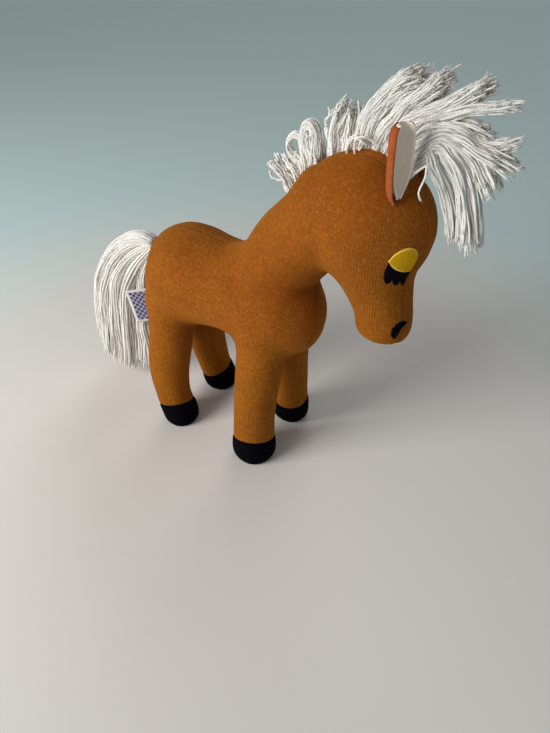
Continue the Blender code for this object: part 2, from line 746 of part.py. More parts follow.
def carve(mesh, *cutters):
    """Cut the cutters' solids out of a bmesh."""
    def cut_with(cutter):
        def change(holder):
            cut = holder.modifiers.new("clearance", "BOOLEAN")
            cut.operation = "DIFFERENCE"
            cut.object = cutter
        return change
    bmesh.ops.triangulate(mesh, faces=mesh.faces)
    bmesh.ops.recalc_face_normals(mesh, faces=mesh.faces)
    return modified(mesh, *[cut_with(cutter) for cutter in cutters])


def largest_body(mesh):
    """Keep the largest of the separate bodies that a cut can leave."""
    mesh.verts.ensure_lookup_table()
    left = set(mesh.verts)
    bodies = []
    while left:
        body = set()
        queue = [left.pop()]
        while queue:
            vert = queue.pop()
            body.add(vert)
            near = [edge.other_vert(vert) for edge in vert.link_edges]
            fresh = [other for other in near if other in left]
            left.difference_update(fresh)
            queue.extend(fresh)
        bodies.append(body)
    bodies.sort(key=len)
    spare = [vert for body in bodies[:-1] for vert in body]
    bmesh.ops.delete(mesh, geom=spare, context="VERTS")
    return mesh


def build_ears(surface, clearance):
    """Roll both ears and line them, each on a pivot at its root."""
    for word, side in SIDES:
        outward = heading(side * EAR_BEARING)
        root = skin_point(surface, EAR_ROOT_HEIGHT, outward) + outward * EAR_SINK
        tip = root + UP * EAR_LENGTH + Vector((-EAR_LEAN_BACK, -side * EAR_LEAN_OUT, 0.0))
        axis = (tip - root).normalized()
        opens = heading(side * EAR_OPENS)
        opens = (opens - axis * opens.dot(axis)).normalized()
        pivot = add_pivot(f"ear_{word}_pivot", root)
        outer = ear_leaf(root, axis, opens, 0.0, FELT_THICKNESS, 0)
        finish(f"ear_{word}", largest_body(carve(outer, clearance)), FELT_RUST, pivot)
        lining = ear_leaf(root, axis, opens, FELT_THICKNESS + SEAT_GAP, LINING_THICKNESS, LINING_FIRST_ROW)
        finish(f"ear_lining_{word}", largest_body(carve(lining, clearance)), FELT_WHITE, pivot)


def mane_bearing(number, radius):
    """Return the bearing of an edge between locks, which sweeps forward with the radius."""
    share = min(max((radius - MANE_SWEEP_START) / MANE_SWEEP_LENGTH, 0.0), 1.0)
    root = MANE_ROOT_BEARINGS[number]
    return math.radians(root + (MANE_TIP_BEARINGS[number] - root) * share)


def mane_lock(number):
    """Return one lock of the mane, between two edges of the fan."""
    root_share, tip_share, width_share, lean_share = MANE_LOCK_SHARES[number]
    centre = Vector((MANE_CENTRE_X, 0.0, MANE_CENTRE_HEIGHT))
    start = MANE_REACH * root_share - MANE_ROOT_SINK
    reach = MANE_REACH * tip_share - start
    stations = []
    profile = NARROW_LOCK_SHARES if number >= FIRST_NARROW_LOCK else WIDE_LOCK_SHARES
    for along, thickness, width, lean in smooth_rows(profile, LOCK_STATION_STEPS):
        radius = start + reach * along
        back = mane_bearing(number, radius)
        front = mane_bearing(number + 1, radius)
        if number in (REAR_LOCKS, len(MANE_LOCK_SHARES) - FORELOCKS):
            back -= SWING_GAP / radius
        middle = (back + front) / 2
        place = centre + Vector((math.cos(middle), 0.0, math.sin(middle))) * radius
        place += LEFT * (MANE_LEAN * lean_share * lean)
        half_depth = (radius * (back - front) - LOCK_GAP) / 2 * thickness
        stations.append((place, half_depth, MANE_HALF_WIDTH * width_share * width))
    return fan_tube(stations, centre)


def fan_tube(stations, centre):
    """Return a tube whose rings lie along arcs around the fan's centre, so that locks never meet."""
    mesh = bmesh.new()
    rings = []
    for middle, half_depth, half_width in stations:
        flat = Vector((middle.x - centre.x, 0.0, middle.z - centre.z))
        radius = flat.length
        bearing = math.atan2(flat.z, flat.x)
        ring = []
        for turn in np.linspace(0.0, 2 * math.pi, LOCK_SIDES, endpoint=False):
            angle = bearing + half_depth * math.sin(turn) / radius
            y = middle.y + half_width * math.cos(turn)
            place = Vector((math.cos(angle) * radius, y, math.sin(angle) * radius))
            ring.append(mesh.verts.new(centre + place))
        rings.append(ring)
    for first, second in zip(rings, rings[1:]):
        for corner in range(LOCK_SIDES):
            following = (corner + 1) % LOCK_SIDES
            mesh.faces.new((first[corner], first[following], second[following], second[corner]))
    mesh.faces.new(rings[0])
    mesh.faces.new(rings[-1])
    return mesh


def crest_point(number):
    """Return the middle of a lock's root on the crest seam."""
    bearing = math.radians((MANE_ROOT_BEARINGS[number] + MANE_ROOT_BEARINGS[number + 1]) / 2)
    radius = MANE_REACH * MANE_LOCK_SHARES[number][0]
    centre = Vector((MANE_CENTRE_X, 0.0, MANE_CENTRE_HEIGHT))
    return centre + Vector((math.cos(bearing), 0.0, math.sin(bearing))) * radius


def leaning_room(form, first, last, limit):
    """Return the form turned both ways about the line between two locks' roots, as cutters."""
    axis = (crest_point(last) - crest_point(first)).normalized()
    middle = (crest_point(first) + crest_point(last)) / 2
    rooms = []
    for degrees in (-limit, limit):
        mesh = swollen(form, SEAT_GAP)
        turn = Matrix.Rotation(math.radians(degrees), 3, axis)
        bmesh.ops.rotate(mesh, cent=middle, matrix=turn, verts=mesh.verts)
        rooms.append(cutter(f"leaning_room_{first}", mesh))
    return rooms


def build_mane(form, clearance):
    """Add the mane's locks, those at the nape and at the brow on pivots of their own."""
    count = len(MANE_LOCK_SHARES)
    nape_end = REAR_LOCKS - 1
    brow_start = count - FORELOCKS
    nape_pivot = add_pivot("mane_nape_pivot", (crest_point(0) + crest_point(nape_end)) / 2)
    forelock_pivot = add_pivot("forelock_pivot", (crest_point(brow_start) + crest_point(count - 1)) / 2)
    nape_room = leaning_room(form, 0, nape_end, NAPE_LEAN_LIMIT)
    brow_room = leaning_room(form, brow_start, count - 1, FORELOCK_LEAN_LIMIT)
    for number in range(count):
        if number < REAR_LOCKS:
            mesh = largest_body(carve(mane_lock(number), clearance, *nape_room))
            finish(f"mane_nape_lock_{number + 1}", mesh, YARN_WHITE, nape_pivot)
        elif number < brow_start:
            mesh = largest_body(carve(mane_lock(number), clearance))
            finish(f"mane_poll_lock_{number + 1 - REAR_LOCKS}", mesh, YARN_WHITE)
        else:
            mesh = largest_body(carve(mane_lock(number), clearance, *brow_room))
            finish(f"forelock_{number + 1 - brow_start}", mesh, YARN_WHITE, forelock_pivot)


def ball(place, radius):
    """Return a round ball of even triangles."""
    mesh = bmesh.new()
    bmesh.ops.create_icosphere(mesh, subdivisions=2, radius=radius)
    bmesh.ops.translate(mesh, verts=mesh.verts, vec=place)
    return mesh


def tail_lock(knot, number):
    """Return one lock of the tail, at its own depth in the hank."""
    edges = [-1.0 + 2.0 * share / TAIL_LOCKS for share in range(TAIL_LOCKS + 1)]
    middle = (edges[number] + edges[number + 1]) / 2
    half = (edges[number + 1] - edges[number]) / 2
    rows = smooth_rows(TAIL_SHARES, LOCK_STATION_STEPS)
    stations = []
    for index, (behind, below, depth, width) in enumerate(rows):
        before = rows[max(index - 1, 0)]
        after = rows[min(index + 1, len(rows) - 1)]
        step = before - after
        along = Vector((step[0] * TAIL_REACH, 0.0, step[1] * TAIL_DROP)).normalized()
        outward = LEFT.cross(along).normalized()
        place = knot + Vector((-behind * TAIL_REACH, TAIL_SIDE_LEAN * below, -below * TAIL_DROP))
        half_depth = TAIL_HALF_DEPTH * depth
        narrowing = 1.0 - (1.0 - TAIL_EDGE_WIDTH_SHARE) * middle * middle
        half_width = TAIL_HALF_WIDTH * width * narrowing
        place += outward * (half_depth * middle)
        stations.append((place, half_depth * half - LOCK_GAP / 2, half_width))
    mesh = bmesh.new()
    add_tube(mesh, stations, LOCK_SIDES)
    return mesh


def build_tail(surface):
    """Add the knot on the rump, and the hank's locks on a pivot inside it."""
    start = Vector((2 * RUMP_X, 0.0, TAIL_KNOT_HEIGHT))
    skin = surface.ray_cast(start, Vector((1.0, 0.0, 0.0)))[0]
    knot = skin - Vector((TAIL_KNOT_RADIUS + SEAT_GAP, 0.0, 0.0))
    swing = add_pivot("tail_swing_pivot", knot)
    finish("tail_knot", ball(knot, TAIL_KNOT_RADIUS), YARN_WHITE, swing)
    lift = add_pivot("tail_lift_pivot", knot, swing)
    room = cutter("tail_knot_room", ball(knot, TAIL_KNOT_RADIUS + SEAT_GAP))
    for number in range(TAIL_LOCKS):
        mesh = largest_body(carve(tail_lock(knot, number), room))
        finish(f"tail_lock_{number + 1}", mesh, YARN_WHITE, lift)


def build_label(surface):
    """Add the blank label, which hangs out of the rear seam on its fold."""
    pitch = math.radians(LABEL_PITCH)
    level = heading(180.0 + LABEL_TURN)
    outward = level * math.cos(pitch) - UP * math.sin(pitch)
    edge = UP * math.cos(pitch) + level * math.sin(pitch)
    across = outward.cross(edge)
    forward = Vector((1.0, 0.0, 0.0))
    reaches = []
    for height in np.linspace(-LABEL_WIDTH / 2, LABEL_WIDTH / 2, LABEL_STEPS):
        start = edge * height + Vector((2 * RUMP_X, 0.0, LABEL_HEIGHT))
        skin = surface.ray_cast(start, forward)[0]
        if skin is not None:
            reaches.append(skin.x - edge.x * height)
    seam = Vector((min(reaches) - LABEL_SEAT, 0.0, LABEL_HEIGHT))
    mesh = bmesh.new()
    grid = []
    for share in np.linspace(0.0, 1.0, LABEL_STEPS):
        middle = seam + outward * (LABEL_REACH * share) + across * (LABEL_CURL * share * share)
        row = []
        for height in (-LABEL_WIDTH / 2, LABEL_WIDTH / 2):
            corner = middle + edge * height
            row.append((mesh.verts.new(corner - across * (LABEL_THICKNESS / 2)),
                        mesh.verts.new(corner + across * (LABEL_THICKNESS / 2))))
        grid.append(row)
    close_sheet(mesh, grid)
    finish("label", mesh, LABEL_WHITE, add_pivot("label_pivot", seam))


def cutter(name, mesh):
    """Keep a bmesh as an unseen solid that others are cut by."""
    data = bpy.data.meshes.new(name)
    mesh.to_mesh(data)
    mesh.free()
    made = bpy.data.objects.new(name, data)
    made.hide_render = True
    made.display_type = "WIRE"
    bpy.context.scene.collection.objects.link(made)
    return made


def stand_over_origin():
    """Move the assembly so that the middle of its box stands on the origin."""
    bpy.context.view_layer.update()
    corners = [made.matrix_world @ vert.co for made in assembly.children_recursive if made.type == "MESH"
               for vert in made.data.vertices]
    middle_x = (min(corner.x for corner in corners) + max(corner.x for corner in corners)) / 2
    middle_y = (min(corner.y for corner in corners) + max(corner.y for corner in corners)) / 2
    assembly.location = (-middle_x, -middle_y, 0.0)


clear_scene()
KNIT_BROWN = material("brown brushed knit", (0.42, 0.15, 0.035), 0.95)
HOOF_BLACK = material("black hoof cloth", (0.012, 0.012, 0.014), 0.9)
FILLING_WHITE = material("white filling", (0.82, 0.81, 0.78), 1.0)
FELT_YELLOW = material("yellow felt", (0.78, 0.52, 0.03), 0.9)
FELT_BLACK = material("black felt", (0.012, 0.012, 0.013), 0.9)
FELT_RUST = material("rust felt", (0.50, 0.12, 0.03), 0.95)
FELT_WHITE = material("white felt", (0.72, 0.66, 0.60), 0.95)
YARN_WHITE = material("white yarn", (0.80, 0.77, 0.70), 0.9)
LABEL_WHITE = material("white ribbon", (0.78, 0.78, 0.80), 0.7)

NECK_START = Vector((NECK_BASE_X, 0.0, NECK_BASE_HEIGHT))
NECK_END = Vector((SKULL_X, 0.0, SKULL_HEIGHT))
HEAD_TOP = Vector((POLL_X, 0.0, POLL_HEIGHT))
HEAD_BOTTOM = Vector((LIPS_X, 0.0, LIPS_HEIGHT))
HEAD_FRONT = Vector((HEAD_TOP.z - HEAD_BOTTOM.z, 0.0, HEAD_BOTTOM.x - HEAD_TOP.x)).normalized()

THROAT_X = CHEST_X + (LIPS_X - CHEST_X) * THROAT_SHARE

assembly = bpy.data.objects.new("horse", None)
bpy.context.scene.collection.objects.link(assembly)
stuffed_form = build_form()
form_surface = BVHTree.FromBMesh(stuffed_form)
form_clearance = cutter("form_clearance", swollen(stuffed_form, SEAT_GAP))
build_skin(stuffed_form)
build_filling(stuffed_form)
build_face(form_surface)
build_ears(form_surface, form_clearance)
build_mane(stuffed_form, form_clearance)
build_tail(form_surface)
build_label(form_surface)
stand_over_origin()
stuffed_form.free()
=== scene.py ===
# %% [markdown]
# # A small stuffed horse
# This lesson dresses a plain CAD model of a stuffed toy horse. The CAD part has the sizes, the joints
# and one solid for each sewn panel, each cap on a hoof, each leaf of an ear and each lock of yarn. Here
# every one of those solids gets the surface that a hand would feel: brushed knit pulled over firm
# filling, felt with cut edges, and yarn made of single strands.
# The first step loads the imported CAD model. It stays where it is, and each new piece rides on it.

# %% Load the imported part
import math

import bmesh
import bpy
import numpy as np
from mathutils import Matrix, Vector


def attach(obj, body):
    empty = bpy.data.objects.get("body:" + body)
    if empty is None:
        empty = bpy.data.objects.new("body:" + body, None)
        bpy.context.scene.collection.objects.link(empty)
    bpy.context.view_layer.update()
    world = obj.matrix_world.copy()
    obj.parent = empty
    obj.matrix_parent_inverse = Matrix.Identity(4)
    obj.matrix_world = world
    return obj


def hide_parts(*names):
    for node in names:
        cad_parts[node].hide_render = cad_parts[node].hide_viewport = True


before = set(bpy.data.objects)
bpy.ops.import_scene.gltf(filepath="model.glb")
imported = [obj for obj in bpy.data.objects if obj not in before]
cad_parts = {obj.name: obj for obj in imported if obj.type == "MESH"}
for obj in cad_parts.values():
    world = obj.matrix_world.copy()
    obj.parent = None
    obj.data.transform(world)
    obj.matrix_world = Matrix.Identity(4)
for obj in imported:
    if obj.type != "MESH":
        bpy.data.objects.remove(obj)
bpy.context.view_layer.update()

MM = 0.001
print("solids in the packed part:", len(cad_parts))

# %% [markdown]
# ## Camera
# The photograph looks down on the horse from its right front, from close by. Its place and its lens
# were worked out from points of the horse that can be told apart in the picture, such as the hooves.
# The camera is turned with a matrix made of its own three axes, which is safer than three angles.

# %% The camera
CAMERA_PLACE = np.array([152.44, -200.2, 251.1]) * MM
CAMERA_YAW = math.radians(33.385)
CAMERA_PITCH = math.radians(39.52)
CAMERA_ROLL = math.radians(-0.157)
PICTURE_HEIGHT = 733
FOCAL_LENGTH_IN_PIXELS = 551
FILM_WIDTH = 36.0


def camera_axes():
    """Return the camera's right, up and backward directions, from its yaw, pitch and roll."""
    forward = np.array([-math.sin(CAMERA_YAW) * math.cos(CAMERA_PITCH),
                        math.cos(CAMERA_YAW) * math.cos(CAMERA_PITCH), -math.sin(CAMERA_PITCH)])
    level = np.array([math.cos(CAMERA_YAW), math.sin(CAMERA_YAW), 0.0])
    upright = np.cross(level, forward)
    right = math.cos(CAMERA_ROLL) * level + math.sin(CAMERA_ROLL) * upright
    up = math.cos(CAMERA_ROLL) * upright - math.sin(CAMERA_ROLL) * level
    return right, up, -forward


def add_camera():
    """Put the camera where the photograph was taken from."""
    data = bpy.data.cameras.new("camera")
    data.sensor_width = FILM_WIDTH
    data.lens = FILM_WIDTH * FOCAL_LENGTH_IN_PIXELS / PICTURE_HEIGHT
    data.clip_start = 0.01
    made = bpy.data.objects.new("camera", data)
    bpy.context.scene.collection.objects.link(made)
    turn = Matrix(np.column_stack(camera_axes()).tolist()).to_4x4()
    made.matrix_world = Matrix.Translation(Vector(CAMERA_PLACE)) @ turn
    bpy.context.scene.camera = made
    return made


camera = add_camera()
bpy.context.scene.view_settings.view_transform = "Standard"
print("camera lens in millimetres:", round(camera.data.lens, 2))

# %% [markdown]
# ## Mesh helpers
# Every new piece is a set of points worked out with numpy and put into a mesh in one go. A grid of
# points has rows and columns, and its faces follow from the counts alone. The columns may close on
# themselves, as round a tube.


# %% Grids, tubes and pieces
def unit(vectors):
    """Return the vectors at length one."""
    length = np.linalg.norm(vectors, axis=-1, keepdims=True)
    return vectors / np.maximum(length, 1e-12)


def curve_through(rows, count):
    """Carry a Catmull-Rom curve through rows of numbers and return that many points on it."""
    rows = np.asarray(rows, dtype=float)
    first = 2 * rows[..., :1, :] - rows[..., 1:2, :]
    last = 2 * rows[..., -1:, :] - rows[..., -2:-1, :]
    padded = np.concatenate([first, rows, last], axis=-2)
    spans = rows.shape[-2] - 1
    place = np.linspace(0.0, spans, count)
    index = np.minimum(place.astype(int), spans - 1)
    share = (place - index)[:, None]
    before, start, end, after = (padded[..., index + step, :] for step in range(4))
    bend = -before + 3 * start - 3 * end + after
    turn = 2 * before - 5 * start + 4 * end - after
    return start + 0.5 * share * ((end - before) + share * (turn + share * bend))


def grid_quads(rows, columns, closed):
    """Return the quads of a grid whose points run along its rows, with closed columns or open ones."""
    wide = columns if closed else columns - 1
    row, column = np.meshgrid(np.arange(rows - 1), np.arange(wide), indexing="ij")
    following = (column + 1) % columns
    quads = np.stack([row * columns + column, row * columns + following,
                      (row + 1) * columns + following, (row + 1) * columns + column], axis=-1)
    return quads.reshape(-1, 4)


def mesh_from(name, points, quads, triangles=()):
    """Put points and faces into a new mesh, as whole arrays."""
    quads = np.asarray(quads, dtype=np.int32).reshape(-1, 4)
    triangles = np.asarray(triangles, dtype=np.int32).reshape(-1, 3)
    corners = np.concatenate([quads.ravel(), triangles.ravel()])
    starts = np.concatenate([np.arange(len(quads)) * 4, 4 * len(quads) + np.arange(len(triangles)) * 3])
    mesh = bpy.data.meshes.new(name)
    mesh.vertices.add(len(points))
    mesh.vertices.foreach_set("co", np.asarray(points, dtype=np.float32).ravel())
    mesh.loops.add(len(corners))
    mesh.loops.foreach_set("vertex_index", corners.astype(np.int32))
    mesh.polygons.add(len(starts))
    mesh.polygons.foreach_set("loop_start", starts.astype(np.int32))
    mesh.update(calc_edges=True)
    return mesh


def mesh_points(mesh):
    """Return the places of a mesh's points."""
    points = np.zeros(len(mesh.vertices) * 3, dtype=np.float32)
    mesh.vertices.foreach_get("co", points)
    return points.reshape(-1, 3).astype(float)


def mesh_normals(mesh):
    """Return the normals at a mesh's points."""
    normals = np.zeros(len(mesh.vertices) * 3, dtype=np.float32)
    mesh.vertices.foreach_get("normal", normals)
    return normals.reshape(-1, 3).astype(float)


def hold(mesh):
    """Put a mesh into the scene as a plain object, to work on."""
    made = bpy.data.objects.new(mesh.name, mesh)
    bpy.context.scene.collection.objects.link(made)
    return made


def settled(holder):
    """Return the mesh of an object with its modifiers applied, and remove the object."""
    depsgraph = bpy.context.evaluated_depsgraph_get()
    mesh = bpy.data.meshes.new_from_object(holder.evaluated_get(depsgraph))
    bpy.data.objects.remove(holder)
    return mesh


def set_uv(mesh, places):
    """Store a place in the cloth for each point of a mesh, as a UV map."""
    corners = np.zeros(len(mesh.loops), dtype=np.int32)
    mesh.loops.foreach_get("vertex_index", corners)
    layer = mesh.uv_layers.new(name="cloth")
    layer.data.foreach_set("uv", np.asarray(places, dtype=np.float32)[corners].ravel())


def set_value(mesh, name, values):
    """Store one number for each point of a mesh."""
    made = mesh.attributes.new(name, "FLOAT", "POINT")
    made.data.foreach_set("value", np.asarray(values, dtype=np.float32))


def add_piece(mesh, look, body, slot, *replaced):
    """Finish a piece: smooth shading, a material, the body it rides on and the solids it stands for."""
    mesh.shade_smooth()
    mesh.materials.clear()
    mesh.materials.append(look)
    made = hold(mesh)
    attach(made, body)
    if replaced:
        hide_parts(*replaced)
    print(f"{made.name}: {len(mesh.vertices)} points, {len(mesh.polygons)} faces")
    return made


# %% [markdown]
# ## Materials
# Cloth looks like cloth because of two things: small relief, which the light picks out, and small
# differences of colour. Both come from shader node groups that several materials share. The first
# group draws the stitches of a knit from a UV map in millimetres of cloth. The second gives the fluff
# of brushed fibres, and the third the twist of yarn.


# %% Node group helpers
def new_group(name, inputs, outputs):
    """Make a shader node group with named float, vector or colour sockets."""
    kinds = {"value": "NodeSocketFloat", "vector": "NodeSocketVector", "colour": "NodeSocketColor"}
    group = bpy.data.node_groups.new(name, "ShaderNodeTree")
    for word, kind, default in inputs:
        socket = group.interface.new_socket(word, in_out="INPUT", socket_type=kinds[kind])
        if default is not None:
            socket.default_value = default
    for word, kind in outputs:
        group.interface.new_socket(word, in_out="OUTPUT", socket_type=kinds[kind])
    entry = group.nodes.new("NodeGroupInput")
    leave = group.nodes.new("NodeGroupOutput")
    return group, entry, leave


def put(tree, node, place):
    """Give one of a node's inputs a link or a plain value."""
    socket, source = place
    if isinstance(source, bpy.types.NodeSocket):
        tree.links.new(source, node.inputs[socket])
    else:
        node.inputs[socket].default_value = source


def math_node(tree, operation, *sources):
    """Add a Math node fed with sockets or numbers, and return its result."""
    node = tree.nodes.new("ShaderNodeMath")
    node.operation = operation
    for place in enumerate(sources):
        put(tree, node, place)
    return node.outputs[0]


def noise_node(tree, where, scale, detail, roughness=0.5):
    """Add a Noise Texture and return its value."""
    node = tree.nodes.new("ShaderNodeTexNoise")
    put(tree, node, ("Vector", where))
    put(tree, node, ("Scale", scale))
    put(tree, node, ("Detail", detail))
    put(tree, node, ("Roughness", roughness))
    return node.outputs["Fac"]


def mix_colour(tree, share, first, second, blend="MIX"):
    """Add a colour mix and return its result."""
    node = tree.nodes.new("ShaderNodeMix")
    node.data_type = "RGBA"
    node.blend_type = blend
    put(tree, node, (0, share))
    put(tree, node, (6, first))
    put(tree, node, (7, second))
    return node.outputs[2]


def map_range(tree, value, low, high, to_low=0.0, to_high=1.0):
    """Carry a value smoothly from one range to another."""
    node = tree.nodes.new("ShaderNodeMapRange")
    node.interpolation_type = "SMOOTHSTEP"
    for place in enumerate((value, low, high, to_low, to_high)):
        put(tree, node, place)
    return node.outputs[0]


# %% The knit's stitches
def knit_stitches_group():
    """Each wale is two legs that lean together like a V, and each leg is a round ridge."""
    group, entry, leave = new_group(
        "knit_stitches",
        [("Cloth", "vector", None), ("Wale", "value", 1.1), ("Course", "value", 0.85)],
        [("Height", "value"), ("Furrow", "value")])
    parts = group.nodes.new("ShaderNodeSeparateXYZ")
    group.links.new(entry.outputs["Cloth"], parts.inputs[0])
    across = math_node(group, "DIVIDE", parts.outputs[0], entry.outputs["Wale"])
    along = math_node(group, "DIVIDE", parts.outputs[1], entry.outputs["Course"])
    side = math_node(group, "ABSOLUTE", math_node(group, "SUBTRACT", math_node(group, "FRACT", across), 0.5))
    ridge = math_node(group, "SUBTRACT", 1.0,
                      math_node(group, "ABSOLUTE", math_node(group, "SUBTRACT",
                                                             math_node(group, "MULTIPLY", side, 4.0), 1.0)))
    lean = math_node(group, "ADD", along, math_node(group, "MULTIPLY", side, 1.6))
    wave = math_node(group, "SINE", math_node(group, "MULTIPLY", lean, 2 * math.pi))
    loop = math_node(group, "ADD", 0.7, math_node(group, "MULTIPLY", wave, 0.3))
    height = math_node(group, "MULTIPLY", math_node(group, "SQRT", ridge), loop)
    furrow = map_range(group, side, 0.5, 0.28)
    group.links.new(height, leave.inputs["Height"])
    group.links.new(furrow, leave.inputs["Furrow"])
    return group


def fibre_fuzz_group():
    """Fine noise stretched a little each way, over a coarser one that lies in soft patches."""
    group, entry, leave = new_group(
        "fibre_fuzz",
        [("Place", "vector", None), ("Fibre", "value", 0.4), ("Patch", "value", 1.6)],
        [("Height", "value"), ("Mottle", "value")])
    fine_scale = math_node(group, "DIVIDE", 1000.0, entry.outputs["Fibre"])
    patch_scale = math_node(group, "DIVIDE", 1000.0, entry.outputs["Patch"])
    fine = noise_node(group, entry.outputs["Place"], fine_scale, 3.0, 0.7)
    patch = noise_node(group, entry.outputs["Place"], patch_scale, 2.0)
    height = math_node(group, "ADD", math_node(group, "MULTIPLY", fine, 0.7),
                       math_node(group, "MULTIPLY", patch, 0.3))
    group.links.new(height, leave.inputs["Height"])
    group.links.new(patch, leave.inputs["Mottle"])
    return group


def yarn_twist_group():
    """Plies wind round the strand: the height is a wave of the turn round it plus the way along it."""
    group, entry, leave = new_group(
        "yarn_twist",
        [("Strand", "vector", None), ("Pitch", "value", 3.2), ("Plies", "value", 3.0)],
        [("Height", "value"), ("Groove", "value")])
    parts = group.nodes.new("ShaderNodeSeparateXYZ")
    group.links.new(entry.outputs["Strand"], parts.inputs[0])
    turns = math_node(group, "ADD", math_node(group, "MULTIPLY", parts.outputs[0], entry.outputs["Plies"]),
                      math_node(group, "DIVIDE", parts.outputs[1], entry.outputs["Pitch"]))
    angle = math_node(group, "MULTIPLY", turns, math.pi)
    wave = math_node(group, "ABSOLUTE", math_node(group, "SINE", angle))
    group.links.new(math_node(group, "POWER", wave, 0.6), leave.inputs["Height"])
    group.links.new(map_range(group, wave, 0.45, 0.0), leave.inputs["Groove"])
    return group


KNIT_STITCHES = knit_stitches_group()
FIBRE_FUZZ = fibre_fuzz_group()
YARN_TWIST = yarn_twist_group()


# %% Material helpers
def new_material(name, roughness, sheen=0.0):
    """Make a material and return it with its node tree, its shader and the place on the object."""
    made = bpy.data.materials.new(name)
    made.use_nodes = True
    tree = made.node_tree
    shader = tree.nodes["Principled BSDF"]
    shader.inputs["Roughness"].default_value = roughness
    shader.inputs["Specular IOR Level"].default_value = 0.2
    shader.inputs["Sheen Weight"].default_value = sheen
    shader.inputs["Sheen Roughness"].default_value = 0.5
    where = tree.nodes.new("ShaderNodeTexCoord").outputs["Object"]
    return made, tree, shader, where


def use_group(tree, group, **sources):
    """Place a node group and feed its inputs."""
    node = tree.nodes.new("ShaderNodeGroup")
    node.node_tree = group
    for word, source in sources.items():
        put(tree, node, (word, source))
    return node


def bump(tree, shader, height, distance, strength=1.0):
    """Feed a height in metres to the shader's normal."""
    node = tree.nodes.new("ShaderNodeBump")
    node.inputs["Strength"].default_value = strength
    node.inputs["Distance"].default_value = distance
    tree.links.new(height, node.inputs["Height"])
    tree.links.new(node.outputs[0], shader.inputs["Normal"])


def cloth_place(tree):
    """Return the place in the cloth that a piece's UV map holds, in millimetres."""
    node = tree.nodes.new("ShaderNodeUVMap")
    node.uv_map = "cloth"
    return node.outputs[0]


def point_value(tree, name):
    """Return a number that a piece stores for each of its points."""
    node = tree.nodes.new("ShaderNodeAttribute")
    node.attribute_name = name
    return node.outputs["Fac"]


def felt_material(name, light, dark, fibre=0.35, relief=0.12, sheen=0.0, cut=None):
    """Felt: matted fibres in two close tones, paler towards the rim, with a soft sheen."""
    made, tree, shader, where = new_material(name, 0.95, sheen)
    shader.inputs["Specular IOR Level"].default_value = 0.03
    fuzz = use_group(tree, FIBRE_FUZZ, Place=where, Fibre=fibre, Patch=1.3)
    tone = map_range(tree, fuzz.outputs["Height"], 0.36, 0.64)
    colour = mix_colour(tree, tone, dark, light)
    if cut is not None:
        colour = mix_colour(tree, math_node(tree, "MULTIPLY", point_value(tree, "rim"), 0.7), colour, cut)
    tree.links.new(colour, shader.inputs["Base Color"])
    bump(tree, shader, fuzz.outputs["Height"], relief * MM)
    return made


